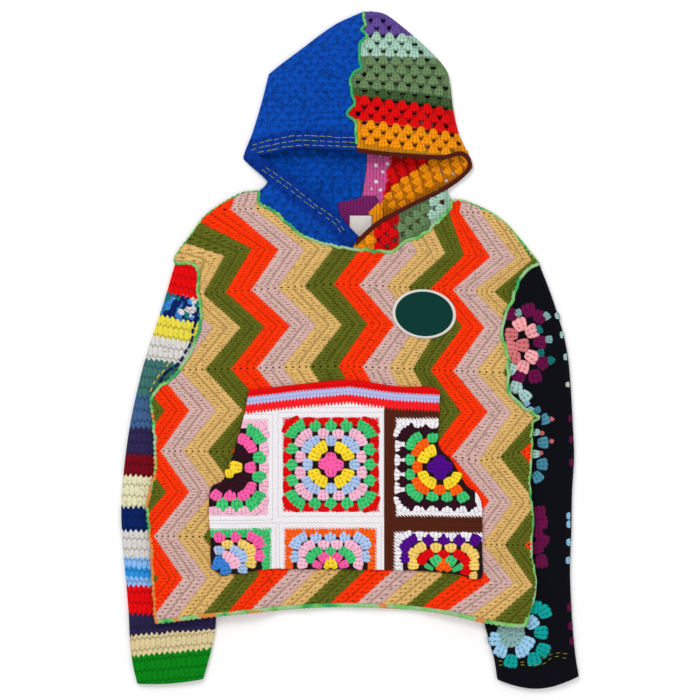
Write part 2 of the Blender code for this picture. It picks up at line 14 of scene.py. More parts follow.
import bpy
import numpy as np
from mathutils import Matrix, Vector


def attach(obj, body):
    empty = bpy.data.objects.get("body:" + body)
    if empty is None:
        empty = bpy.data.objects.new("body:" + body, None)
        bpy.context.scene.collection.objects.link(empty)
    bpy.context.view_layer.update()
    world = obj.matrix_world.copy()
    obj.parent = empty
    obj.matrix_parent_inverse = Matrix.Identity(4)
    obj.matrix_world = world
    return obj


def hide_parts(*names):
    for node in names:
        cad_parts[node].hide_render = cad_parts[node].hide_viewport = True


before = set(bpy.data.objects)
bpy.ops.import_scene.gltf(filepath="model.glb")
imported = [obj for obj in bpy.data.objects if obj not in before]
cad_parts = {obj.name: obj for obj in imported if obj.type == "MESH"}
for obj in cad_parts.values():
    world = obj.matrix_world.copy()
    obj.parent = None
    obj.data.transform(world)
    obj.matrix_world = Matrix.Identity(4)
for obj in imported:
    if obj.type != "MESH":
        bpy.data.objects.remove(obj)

Array, Thing, Material = np.ndarray, bpy.types.Object, bpy.types.Material

LOG = logging.getLogger("hoodie")
METRES = 0.001  # in a millimetre
BODY = "root"
PIXEL, PHOTO_MIDDLE = 1.5, 350.0  # millimetres to a photo pixel, and the pixel that lies at the origin


class Yarn(Enum):
    """Colours of the yarns and threads, in sRGB."""

    ORANGE = (255, 50, 0)
    MAUVE = (209, 171, 164)
    TAN = (217, 175, 104)
    OLIVE = (92, 98, 24)
    BLUE = (0, 71, 174)
    HEM_BLUE = (0, 42, 130)
    PURPLE = (98, 72, 150)
    MINT = (163, 202, 182)
    SAGE = (104, 134, 90)
    DARK_SAGE = (62, 88, 48)
    RED = (222, 4, 8)
    AMBER = (245, 147, 8)
    BROWN = (84, 28, 18)
    ROSE = (200, 82, 146)
    PLUM = (115, 30, 95)
    WHITE = (238, 234, 238)
    BRIGHT_RED = (248, 28, 34)
    LILAC = (176, 182, 226)
    PALE_PINK = (244, 182, 206)
    HOT_PINK = (250, 92, 166)
    GREEN = (62, 194, 112)
    YELLOW = (250, 214, 44)
    SKY = (166, 192, 230)
    MAROON_BLACK = (46, 12, 26)
    DEEP_ORANGE = (250, 92, 12)
    VIOLET = (78, 4, 132)
    SASH_BROWN = (80, 32, 16)
    PALE_TAN = (240, 202, 104)
    MID_BLUE = (56, 126, 206)
    SHADOW = (30, 18, 20)
    TEAL_GREEN = (60, 108, 104)
    DENIM = (60, 94, 136)
    DARK_VIOLET = (44, 36, 78)
    MAROON = (112, 4, 20)
    CREAM = (222, 218, 178)
    NAVY = (4, 32, 92)
    GREY_WHITE = (209, 205, 201)
    LIGHT_BLUE = (131, 180, 235)
    BRIGHT_BLUE = (40, 140, 215)
    INDIGO = (38, 32, 68)
    SAND = (214, 196, 148)
    KELLY = (2, 126, 18)
    LEMON = (224, 209, 66)
    INK = (7, 7, 17)
    WINE = (100, 10, 66)
    BLUSH = (240, 162, 166)
    SALMON = (206, 112, 116)
    TEAL = (20, 112, 112)
    STEEL = (70, 135, 160)
    FROST = (168, 207, 202)
    ICE = (150, 200, 230)
    BRIGHT_TEAL = (10, 155, 150)
    GREY_GREEN = (130, 170, 170)
    BADGE = (2, 54, 48)
    RIM = (216, 211, 206)
    SERGE_GREEN = (62, 178, 96)
    SERGE_TEAL = (40, 160, 128)
    SERGE_LIME = (128, 206, 104)
    SERGE_PALE = (164, 206, 152)
    SERGE_AMBER = (232, 146, 70)
    THREAD = (176, 190, 60)

    @property
    def linear(self) -> tuple[float, float, float]:
        """The colour as scene-linear numbers."""
        scaled = (channel / 255 for channel in self.value)
        return tuple(c / 12.92 if c <= 0.04045 else ((c + 0.055) / 1.055) ** 2.4 for c in scaled)


@dataclass(frozen=True)
class Finish:
    """How a cloth takes the light."""

    roughness: float = 0.95
    sheen: float = 0.03
    bump: float = 0.8
    depth: float = 0.0012
    fleck: float = 0.16


WORSTED = Finish()
FUZZY = Finish(roughness=0.97, sheen=0.03, bump=0.9, depth=0.0014, fleck=0.3)
WOVEN = Finish(roughness=0.85, sheen=0.05, bump=0.4, depth=0.0004, fleck=0.06)
THREADY = Finish(roughness=0.8, sheen=0.02, bump=0.4, depth=0.0005, fleck=0.2)


# The plan, from the same measured points as the CAD: x, y on the table

NECK_LEFT = ((3, 151), (-24, 156), (-60, 166), (-92, 188), (-112, 207), (-134, 219), (-137, 238))
NECK_RIGHT = ((3, 151), (20, 150), (62, 148), (84, 163), (108, 172), (129, 190), (148, 209), (152, 224))
BACK_NECK_LEFT = ((3, 197), (-50, 203), (-100, 219), (-137, 238))
BACK_NECK_RIGHT = ((3, 197), (55, 200), (110, 209), (152, 224))
SHOULDER_LEFT = ((-137, 238), (-166, 233), (-213, 204), (-236, 175), (-261, 141), (-262, 130))
SHOULDER_RIGHT = ((152, 224), (171, 223), (200, 211), (221, 199), (240, 182), (283, 130))
ARMHOLE_LEFT = (
    (-262, 130), (-231, 126), (-227, 86), (-223, 50), (-232, 12), (-257, -33), (-289, -60), (-297, -76),
)
ARMHOLE_RIGHT = (
    (283, 130), (258, 112), (243, 75), (227, 31), (236, -10), (237, -60), (258, -84), (283, -101),
)
SIDE_LEFT = (
    (-297, -76), (-291, -130), (-291, -187), (-301, -223), (-301, -252), (-296, -296), (-294, -342),
    (-289, -408),
)
SIDE_RIGHT = (
    (283, -101), (272, -112), (271, -150), (268, -202), (273, -255), (270, -300), (277, -352), (265, -402),
)
HEM = (
    (-289, -408), (-199, -397), (-123, -390), (-30, -384), (61, -386), (138, -393), (199, -406), (255, -414),
    (265, -402),
)
SLEEVE_LEFT = (
    (-261, 141, -297, -76), (-268, 110, -297.5, -79), (-279, 72, -297, -83), (-291, 36, -293, -88),
    (-303, 0, -284, -96), (-313, -36, -268, -110), (-323, -78, -250, -134), (-332, -125, -235, -168),
    (-339, -180, -222, -212), (-343, -235, -213, -260), (-341, -290, -206, -320), (-336, -345, -202, -370),
    (-332, -395, -201, -407), (-330, -435, -206, -440), (-326, -470, -213, -468), (-319, -500, -220, -493),
)
SLEEVE_RIGHT = (
    (283, 130, 283, -101), (294, 103, 283.5, -104), (304, 76, 282.5, -108), (313, 48, 279, -113),
    (321, 20, 271, -121), (327, -12, 258, -135), (331, -55, 243, -159), (334, -110, 230, -191),
    (336, -160, 220, -229), (333, -215, 212, -270), (332, -270, 206, -320), (330, -330, 202, -365),
    (332, -385, 201, -404), (335, -430, 208, -434), (339, -465, 216, -463), (343, -489, 221, -494),
)
CROWN_LEFT = ((-122, 413), (-105, 427), (-70, 453), (-45, 472), (-18, 490), (20, 507))
CROWN_RIGHT = ((151, 393), (144, 420), (118, 450), (84, 480), (55, 502), (36, 507), (20, 507))
HOOD_SIDE_LEFT = (
    (-137, 238), (-125, 250), (-126, 264), (-157, 283), (-158, 296), (-146, 327), (-133, 370), (-122, 413),
)
HOOD_SIDE_RIGHT = (
    (152, 224), (147, 240), (158, 252), (176, 264), (184, 276), (175, 298), (163, 325), (155, 360),
    (151, 393),
)
HOOD_SEAM = (
    (3, 151), (10, 165), (13, 178), (11, 220), (10, 300), (9, 322), (7, 338), (-4, 350), (6, 365), (3, 381),
    (1, 400), (5, 413), (18, 419), (14, 432), (14, 454), (24, 468), (18, 478), (22, 487), (20, 507),
)
BACK_SEAM = ((3, 197), (19, 236), (26, 300), (22, 382), (20, 430), (21, 480), (20, 507))
BRIM_LEFT = ((10, 297), (-34, 299), (-76, 301), (-118, 294), (-146, 288))
BINDING_BRIM = ((11, 297), (40, 293), (76, 290), (130, 287), (163, 287))
BINDING_FRONT = ((164, 268), (143, 250), (121, 233), (83, 212), (42, 189), (9, 160))
FACE_LEFT = ((11, 167), (12, 171), (0, 183), (-14, 200), (-43, 222), (-82, 252), (-128, 286), (-136, 290))
POCKET = (
    (-151, -60), (-75, -51), (0, -45), (68, -54), (128, -57), (134, -80), (132, -140), (152, -165),
    (172, -200), (195, -225), (197, -300), (194, -341), (150, -333), (50, -329), (-60, -328),
    (-120, -327), (-199, -331), (-208, -277), (-209, -210), (-188, -192), (-171, -145), (-158, -95),
)

WALL, SEAM, RIB = 3.0, 0.3, 1.3


# Curves on the plan


def from_photo(pixels) -> Array:
    """Plan points of photo pixels, given as columns and rows."""
    return (np.array(pixels) - PHOTO_MIDDLE) * (PIXEL, -PIXEL)


def spline(points, each: int = 8) -> Array:
    """A smooth curve through the points, with so many steps from each one to the next.

    Between two points b and c it runs as the Catmull-Rom cubic whose slopes there are half the way
    from the point before to the point after.
    """
    points = np.asarray(points, dtype=float)
    p = np.vstack([2 * points[0] - points[1], points, 2 * points[-1] - points[-2]])
    t = (np.arange(each) / each)[None, :, None]
    a, b, c, d = (p[k : len(p) - 3 + k, None, :] for k in range(4))
    bend = 2 * a - 5 * b + 4 * c - d + t * (3 * (b - c) + d - a)
    curve = b + 0.5 * t * (c - a + t * bend)
    return np.vstack([curve.reshape(-1, points.shape[1]), points[-1:]])


def reach_of(curve: Array) -> Array:
    """Length along a polyline up to each of its points."""
    steps = np.linalg.norm(np.diff(curve, axis=0), axis=1)
    return np.concatenate([[0.0], np.cumsum(steps)])


def along(curve: Array, share) -> Array:
    """Points of a polyline at shares of its length from 0 to 1."""
    reach = reach_of(curve)
    return np.stack([np.interp(share, reach / reach[-1], column) for column in curve.T], axis=-1)


def stepped(curve: Array, step: float) -> Array:
    """The polyline resampled at even steps."""
    count = max(2, int(round(reach_of(curve)[-1] / step)) + 1)
    return along(curve, np.linspace(0, 1, count))


def normals(curve: Array) -> Array:
    """Unit vectors to the right of the polyline's way."""
    way = np.gradient(curve[:, :2], axis=0)
    way /= np.maximum(np.linalg.norm(way, axis=1), 1e-9)[:, None]
    return np.stack([way[:, 1], -way[:, 0]], axis=1)


def closed(outline: Array) -> Array:
    """The outline with its first point again at its end."""
    return np.vstack([outline, outline[:1]])


def distance_to(x: Array, y: Array, curve: Array) -> Array:
    """Distance of each point to the nearest stretch of a polyline."""
    nearest = np.full(np.shape(x), np.inf)
    for (ax, ay), (bx, by) in zip(curve[:-1], curve[1:]):
        length = max((bx - ax) ** 2 + (by - ay) ** 2, 1e-9)
        share = np.clip(((x - ax) * (bx - ax) + (y - ay) * (by - ay)) / length, 0, 1)
        nearest = np.minimum(nearest, np.hypot(x - ax - share * (bx - ax), y - ay - share * (by - ay)))
    return nearest


def inside(x: Array, y: Array, outline: Array) -> Array:
    """True for each point that lies inside the closed outline, by counting crossings."""
    odd = np.zeros(np.shape(x), dtype=bool)
    for (ax, ay), (bx, by) in zip(outline, np.roll(outline, -1, axis=0)):
        if ay == by:
            continue
        crosses = ((ay > y) != (by > y)) & (x < ax + (y - ay) / (by - ay) * (bx - ax))
        odd ^= crosses
    return odd


def covered(x: Array, y: Array, outline: Array, room: float) -> Array:
    """True for each point inside the outline or within the room of its edge."""
    return inside(x, y, outline) | (distance_to(x, y, closed(outline)) < room)


def ease(share: Array) -> Array:
    """From 0 to 1 with level ends."""
    share = np.clip(share, 0, 1)
    return share * share * (3 - 2 * share)


def uneven(x: Array, y: Array, size: float, seed: int) -> Array:
    """Slow hand-made unevenness from -1 to 1: three sine waves of near lengths in turned directions."""
    rng = np.random.default_rng(seed)
    total = np.zeros(np.shape(x))
    for turn, phase, scale in zip(rng.uniform(0, math.pi, 3), rng.uniform(0, 6.28, 3), (1.0, 1.37, 0.74)):
        total = total + np.sin(6.283 / (size * scale) * (x * math.cos(turn) + y * math.sin(turn)) + phase)
    return total / 3


# Heights of the cloth above the table


@dataclass(frozen=True)
class Crease:
    """A soft ridge, or a trough if its height is below zero, from one point to another."""

    start: tuple[float, float]
    end: tuple[float, float]
    width: float
    height: float

    def lift(self, x: Array, y: Array) -> Array:
        """Height over the crease: a bell of its width across, dying out past its ends."""
        away = distance_to(x, y, np.array([self.start, self.end]))
        return self.height * np.exp(-((away / self.width) ** 2))


class Terrain:
    """Heights of each layer, as in the CAD, with the small creases that the photo shows."""

    SLEEVE_HIGH = 8.5
    TUCK_REACH, TUCK_RAMP, TUCK_TOP = 44.0, 64.0, -45.0
    HEM_WAVE, HEM_WAVE_LENGTH, HEM_WAVE_REACH = 2.6, 92.0, 60.0
    AIR = 0.4  # between the front and the back
    LOFT, LOFT_REACH = 27.0, 42.0
    SLUMP, SLUMP_SIZE = 0.7, 90
    CREASES = (
        Crease((-216, 44), (-150, 60), 16, 1.1),
        Crease((-246, -34), (-196, -10), 14, -0.7),
        Crease((228, 30), (168, 34), 15, 1.2),
        Crease((238, -20), (190, -34), 15, -0.8),
        Crease((-120, 180), (-150, 120), 18, 0.9),
        Crease((118, 170), (160, 120), 18, 0.9),
        Crease((60, 130), (90, 60), 22, 0.6),
        Crease((-60, 140), (-90, 70), 24, 0.7),
        Crease((-205, -120), (-170, -40), 20, 0.8),
        Crease((175, -170), (200, -60), 20, 0.8),
    )

    def __init__(self) -> None:
        left = np.vstack([spline(NECK_LEFT, 4), spline(HOOD_SIDE_LEFT, 4), spline(CROWN_LEFT, 4)])
        right = np.vstack([spline(NECK_RIGHT, 4), spline(HOOD_SIDE_RIGHT, 4), spline(CROWN_RIGHT, 4)])
        self.hood_outline = np.vstack([left, right[::-1]])

    def _tuck(self, x, y, sleeve, side: int):
        """From 0 to 1 where the back rides up over a sleeve that is tucked under it."""
        inner = np.array(sleeve)[:, 2:]
        order = np.argsort(inner[:, 1])
        past = side * (np.interp(y, inner[order, 1], inner[order, 0]) - x)
        ramp = ease(1 - (past - self.TUCK_REACH) / self.TUCK_RAMP)
        return ramp * ease(1 - (y - self.TUCK_TOP) / self.TUCK_RAMP)

    def back_under(self, x, y):
        """Underside of the back: on the table, and up over the sleeves tucked under it."""
        left, right = self._tuck(x, y, SLEEVE_LEFT, -1), self._tuck(x, y, SLEEVE_RIGHT, 1)
        return (self.SLEEVE_HIGH + 5 * SEAM) * np.maximum(left, right)

    def front_under(self, x, y):
        """Underside of the front: on the back, with a little wave along the open hem."""
        wave = 0.5 + 0.5 * np.sin(2 * math.pi * x / self.HEM_WAVE_LENGTH)
        wave = self.HEM_WAVE * wave * np.exp(-np.clip(y - HEM[0][1], 0, None) / self.HEM_WAVE_REACH)
        crease = sum(each.lift(x, y) for each in self.CREASES)
        return self.back_under(x, y) + WALL + SEAM + wave + np.maximum(crease, 0) + self.AIR

    def front_over(self, x, y):
        """Top of the front in the valleys between its ribs."""
        crease = sum(np.minimum(each.lift(x, y), 0) for each in self.CREASES)
        return self.front_under(x, y) + WALL - self.AIR + crease

    def hood_under(self, x, y):
        """Underside of the hood's upper layer, which rises from its folded edges and neck seam."""
        rise = 1 - np.exp(-distance_to(x, y, self.hood_outline) / self.LOFT_REACH)
        soft = self.SLUMP * uneven(x, y, self.SLUMP_SIZE, 5) * rise
        return WALL + SEAM + self.LOFT * rise + soft

    def hood_over(self, x, y):
        """Top of the hood's upper layer."""
        return self.hood_under(x, y) + WALL


def raised(level, rise: float):
    """A function of heights, raised by so much."""
    return lambda x, y: level(x, y) + rise


def even(height: float):
    """A function that gives the same height everywhere."""
    return lambda x, y: np.full(np.shape(x), height)


# Meshes


@dataclass
class Build:
    """Points, faces and what rides on them, all as whole arrays."""

    points: Array
    faces: list
    uv: Array | None = None
    tint: Array | None = None

    @staticmethod
    def joined(builds: list) -> "Build":
        """Several builds as one."""
        starts = np.cumsum([0] + [len(each.points) for each in builds])
        faces = [face + start for each, start in zip(builds, starts) for face in each.faces]
        uv = None if builds[0].uv is None else np.vstack([each.uv for each in builds])
        tint = None if builds[0].tint is None else np.vstack([each.tint for each in builds])
        return Build(np.vstack([each.points for each in builds]), faces, uv, tint)

    def volume(self) -> float:
        """Signed volume, by fans from each face's first corner."""
        total = 0.0
        for faces in self.faces:
            corners = self.points[faces]
            for k in range(1, faces.shape[1] - 1):
                cross = np.cross(corners[:, k], corners[:, k + 1])
                total += float(np.einsum("ij,ij->", corners[:, 0], cross))
        return total / 6

    def object(self, name: str, material=None) -> Thing:
        """Makes the Blender object, in metres at the origin, its faces turned outward."""
        faces = self.faces if self.volume() >= 0 else [face[:, ::-1] for face in self.faces]
        loops = np.concatenate([face.reshape(-1) for face in faces]).astype(np.int32)
        sizes = np.concatenate([np.full(len(face), face.shape[1]) for face in faces])
        starts = np.concatenate([[0], np.cumsum(sizes)[:-1]]).astype(np.int32)
        mesh = bpy.data.meshes.new(name)
        mesh.vertices.add(len(self.points))
        mesh.vertices.foreach_set("co", (self.points * METRES).astype(np.float32).ravel())
        mesh.loops.add(len(loops))
        mesh.loops.foreach_set("vertex_index", loops)
        mesh.polygons.add(len(sizes))
        mesh.polygons.foreach_set("loop_start", starts)
        mesh.polygons.foreach_set("use_smooth", np.ones(len(sizes), dtype=bool))
        mesh.update(calc_edges=True)
        if self.uv is not None:
            layer = mesh.uv_layers.new(name="Stitch")
            layer.data.foreach_set("uv", self.uv[loops].astype(np.float32).ravel())
        if self.tint is not None:
            layer = mesh.color_attributes.new("Yarn", "FLOAT_COLOR", "CORNER")
            colour = np.column_stack([self.tint[loops], np.ones(len(loops))])
            layer.data.foreach_set("color", colour.astype(np.float32).ravel())
        thing = bpy.data.objects.new(name, mesh)
        bpy.context.scene.collection.objects.link(thing)
        if material is not None:
            mesh.materials.append(material)
        return thing


def lay(plan: Array, height) -> Array:
    """Plan points, x and y last, with their height."""
    return np.concatenate([plan, np.broadcast_to(height, plan.shape[:-1])[..., None]], axis=-1)


def mesh_plan(x: Array, y: Array) -> Array:
    """A grid of plan points from its columns' x and its rows' y."""
    return np.dstack(np.meshgrid(x, y))


def middles(plan: Array) -> tuple[Array, Array]:
    """x and y in the middle of each cell of a grid of plan points."""
    middle = (plan[:-1, :-1] + plan[1:, 1:]) / 2
    return middle[..., 0], middle[..., 1]


def quads(index: Array, around: bool = False) -> Array:
    """Faces between the rows and columns of point numbers; around joins the last column to the first."""
    ring = np.concatenate([index, index[:, :1]], axis=1) if around else index
    return np.stack([ring[:-1, :-1], ring[:-1, 1:], ring[1:, 1:], ring[1:, :-1]], axis=-1).reshape(-1, 4)


def shell(outer, inner, uv=None, around: bool = False, keep=None, tint=None) -> Build:
    """A closed wall between an outer and an inner grid of points, with rims at its edges and holes.

    uv and tint have a value for each grid point, and keep one for each cell, false in a hole; around
    joins the last column to the first.
    """
    rows, columns = outer.shape[:2]
    count = rows * columns
    cells = quads(np.arange(count).reshape(rows, columns), around)
    if keep is not None:
        cells = cells[keep.reshape(-1)]
    edges = cells[:, [0, 1, 1, 2, 2, 3, 3, 0]].reshape(-1, 2)
    rim = edges[~np.isin(edges[:, 0] * count + edges[:, 1], edges[:, 1] * count + edges[:, 0])]
    rims = np.column_stack([rim[:, 1], rim[:, 0], rim[:, 0] + count, rim[:, 1] + count])
    faces = np.vstack([cells, cells[:, ::-1] + count, rims])
    used, place = np.unique(faces, return_inverse=True)
    both = [None if part is None else np.vstack([part.reshape(count, -1)] * 2)[used] for part in (uv, tint)]
    points = np.vstack([outer.reshape(-1, 3), inner.reshape(-1, 3)])[used]
    return Build(points, [place.reshape(-1, 4)], *both)


def turns(sides: int) -> Array:
    """Even turns round a section, in radians."""
    return 2 * math.pi * np.arange(sides) / sides


def cloth(name: str, plan: Array, top, under, material: Material, **more) -> Thing:
    """A piece of cloth between two heights over its plan; more is what shell takes."""
    return shell(lay(plan, top), lay(plan, under), **more).object(name, material)


def tube(path: Array, radius, sides: int, squash: float = 1.0) -> Build:
    """A tube with flat ends along a path that stays nearly level.

    Its radius is one number, or one for each point and side; squash is the height of its section over
    its width. u runs round it from 0 to 1, and v along it in millimetres.
    """
    turn = turns(sides)
    radius = np.broadcast_to(radius, (len(path), sides))
    side = normals(path)
    level = np.cos(turn) * radius
    points = np.empty((len(path), sides, 3))
    points[..., :2] = path[:, None, :2] + side[:, None, :] * level[..., None]
    points[..., 2] = path[:, 2, None] + squash * radius * np.sin(turn)
    index = np.arange(len(path) * sides).reshape(len(path), sides)
    caps = np.vstack([index[0][::-1], index[-1]])
    uv = np.dstack(np.meshgrid(turn / (2 * math.pi), reach_of(path)))
    return Build(points.reshape(-1, 3), [quads(index, around=True), caps], uv.reshape(-1, 2))


def prism(outline: Array, bottom: float = -30.0, top: float = 90.0) -> Thing:
    """An upright cutter with the outline as its plan, less the points that all but touch."""
    apart = np.linalg.norm(outline - np.roll(outline, 1, axis=0), axis=1)
    outline = outline[apart > 0.05]
    count = len(outline)
    points = np.vstack([lay(outline, bottom), lay(outline, top)])
    low = np.arange(count)
    after = (low + 1) % count
    sides = np.column_stack([low, after, after + count, low + count])
    return Build(points, [sides, low[None, ::-1], low[None] + count]).object("cutter")


def cut(thing: Thing, outline: Array, operation: str, **reach: float) -> None:
    """Keeps (INTERSECT) or takes away (DIFFERENCE) what stands over the outline."""
    cutter = prism(outline, **reach)
    change = thing.modifiers.new("cut", "BOOLEAN")
    change.operation = operation
    change.solver = "EXACT"
    change.object = cutter
    bpy.context.view_layer.update()
    evaluated = thing.evaluated_get(bpy.context.evaluated_depsgraph_get())
    mesh = bpy.data.meshes.new_from_object(evaluated)
    thing.modifiers.clear()
    thing.data = mesh
    bpy.data.objects.remove(cutter)


# Shader graphs


def _math(operation: str, reflected: bool = False):
    """A method that adds a Math node; a reflected one takes its two values the other way round."""

    def method(self: "Signal", *others) -> "Signal":
        return self.graph.maths(operation, *((*others, self) if reflected else (self, *others)))

    return method


class Signal:
    """One value in a shader graph that takes arithmetic with others and with numbers."""

    __add__ = __radd__ = _math("ADD")
    __sub__, __rsub__ = _math("SUBTRACT"), _math("SUBTRACT", reflected=True)
    __mul__ = __rmul__ = _math("MULTIPLY")
    __truediv__ = _math("DIVIDE")
    __lt__, __gt__ = _math("LESS_THAN"), _math("GREATER_THAN")
    floor, fract, size = _math("FLOOR"), _math("FRACT"), _math("ABSOLUTE")
    least, most = _math("MINIMUM"), _math("MAXIMUM")

    def __init__(self, graph: "Graph", socket) -> None:
        self.graph, self.socket = graph, socket

    def fade(self, low: float, high: float) -> "Signal":
        """Smoothly from 0 at low to 1 at high."""
        node = self.graph.node("ShaderNodeMapRange", {"interpolation_type": "SMOOTHSTEP"}, {
            "Value": self, "From Min": low, "From Max": high,
        })
        return Signal(self.graph, node.outputs["Result"])

    def held(self) -> "Signal":
        """The value, held from 0 to 1."""
        return self.least(1.0).most(0.0)

    def centred(self) -> "Signal":
        """Distance from the middle of its unit cell: 0 there and 1 at its ends."""
        return (self.fract() - 0.5).size() * 2

    def swell(self) -> "Signal":
        """A round back: 1 where the value is 0, and 0 where it is 1."""
        return 1 - self * self


class Graph:
    """A material under construction."""

    SPECULAR = 0.08
    CAVITY_SHADE = 0.78  # how far painted shade darkens the holes between stitches
    HOLE_DEEP, FLECK_HIGH, FUZZ_HIGH = 0.8, 0.5, 0.25  # in the bump, where a stitch counts as about 1
    FLECK_SIZE, FUZZ_SIZE = 2.2, 0.9

    def __init__(self, name: str, finish: Finish) -> None:
        self.finish = finish
        self.material = bpy.data.materials.new(name)
        self.material.use_nodes = True
        self.tree = self.material.node_tree
        self.shader = self.tree.nodes["Principled BSDF"]
        self.shader.inputs["Roughness"].default_value = finish.roughness
        self.shader.inputs["Sheen Weight"].default_value = finish.sheen
        self.shader.inputs["Specular IOR Level"].default_value = self.SPECULAR

    def node(self, kind: str, settings: dict | None = None, values: dict | None = None):
        """A node with its settings, and its sockets set to numbers or linked to signals."""
        node = self.tree.nodes.new(kind)
        for key, value in (settings or {}).items():
            setattr(node, key, value)
        for key, value in (values or {}).items():
            if isinstance(value, Signal):
                self.tree.links.new(value.socket, node.inputs[key])
            else:
                node.inputs[key].default_value = value
        return node

    def maths(self, operation: str, *values) -> Signal:
        """A Math node of the values."""
        node = self.node("ShaderNodeMath", {"operation": operation}, dict(enumerate(values)))
        return Signal(self, node.outputs[0])

    def parts(self, socket) -> list[Signal]:
        """x, y and z of a vector's socket."""
        split = self.node("ShaderNodeSeparateXYZ", None, {0: Signal(self, socket)})
        return [Signal(self, output) for output in split.outputs]

    def stitch(self) -> list[Signal]:
        """The piece's own two stitch coordinates."""
        return self.parts(self.node("ShaderNodeUVMap", {"uv_map": "Stitch"}).outputs[0])[:2]

    def place(self) -> list[Signal]:
        """Millimetres in the row frame."""
        where = self.node("ShaderNodeTexCoord")
        return [part * (1 / METRES) for part in self.parts(where.outputs["Object"])]

    def noise(self, size: float, detail: float = 2.0, stretch: tuple = (1, 1, 1)) -> Signal:
        """Noise from 0 to 1 whose lumps are about the size, in millimetres."""
        where = self.node("ShaderNodeTexCoord")
        mapping = self.node("ShaderNodeMapping", None, {
            "Vector": Signal(self, where.outputs["Object"]), "Scale": stretch,
        })
        node = self.node("ShaderNodeTexNoise", None, {
            "Vector": Signal(self, mapping.outputs[0]), "Scale": 1 / METRES / size, "Detail": detail,
        })
        return Signal(self, node.outputs[0])

    def stray(self, size: float, reach: float, detail: float = 2.0) -> Signal:
        """Noise about 0 that reaches half as far to each side."""
        return (self.noise(size, detail) - 0.5) * reach

    def ramp(self, value: Signal, stops: list, smooth: bool = False) -> Signal:
        """Colours by position; each holds up to the next, or blends into it if smooth."""
        node = self.node("ShaderNodeValToRGB", None, {0: value})
        ramp = node.color_ramp
        ramp.interpolation = "LINEAR" if smooth else "CONSTANT"
        while len(ramp.elements) < len(stops):
            ramp.elements.new(1.0)
        for element, (position, yarn) in zip(ramp.elements, stops):
            element.position = position
            element.color = (*yarn.linear, 1.0)
        return Signal(self, node.outputs[0])

    def colour(self, yarn: Yarn) -> Signal:
        """A yarn's colour, the same all over."""
        node = self.node("ShaderNodeRGB")
        node.outputs[0].default_value = (*yarn.linear, 1.0)
        return Signal(self, node.outputs[0])

    def tint(self) -> Signal:
        """The piece's own colour attribute."""
        node = self.node("ShaderNodeVertexColor", {"layer_name": "Yarn"})
        return Signal(self, node.outputs[0])

    def mix(self, share, first: Signal, second: Signal, blend: str = "MIX") -> Signal:
        """The first colour at 0 and the second at 1."""
        node = self.node("ShaderNodeMix", {"data_type": "RGBA", "blend_type": blend}, {
            0: share, 6: first, 7: second,
        })
        return Signal(self, node.outputs[2])

    def shade(self, colour: Signal, light: Signal) -> Signal:
        """The colour times a grey level."""
        grey = self.node("ShaderNodeCombineXYZ", None, {0: light, 1: light, 2: light})
        return self.mix(1.0, colour, Signal(self, grey.outputs[0]), "MULTIPLY")

    def finished(self, colour: Signal, cavity: Signal, height: Signal) -> Material:
        """Paints shade into the cavities, flecks the yarn, adds the bump and links the shader.

        The cavity is 1 in the holes between stitches and 0 on the yarn, and a stitch is about 1 high.
        The colour is darkened in the cavity as painted shade, and the bump sinks there.
        """
        fleck = self.noise(self.FLECK_SIZE, 3.0)
        # painted shade: the grey level falls in the cavities between stitches, with random flecks on top
        light = (1 - cavity * self.CAVITY_SHADE) * (1 + (fleck - 0.5) * (2 * self.finish.fleck))
        self.tree.links.new(self.shade(colour, light).socket, self.shader.inputs["Base Color"])
        fuzz = self.noise(self.FUZZ_SIZE, 2.0)
        bump = self.node("ShaderNodeBump", None, {
            "Strength": self.finish.bump,
            "Distance": self.finish.depth,
            "Height": height - cavity * self.HOLE_DEEP + fleck * self.FLECK_HIGH + fuzz * self.FUZZ_HIGH,
        })
        self.tree.links.new(bump.outputs[0], self.shader.inputs["Normal"])
        return self.material


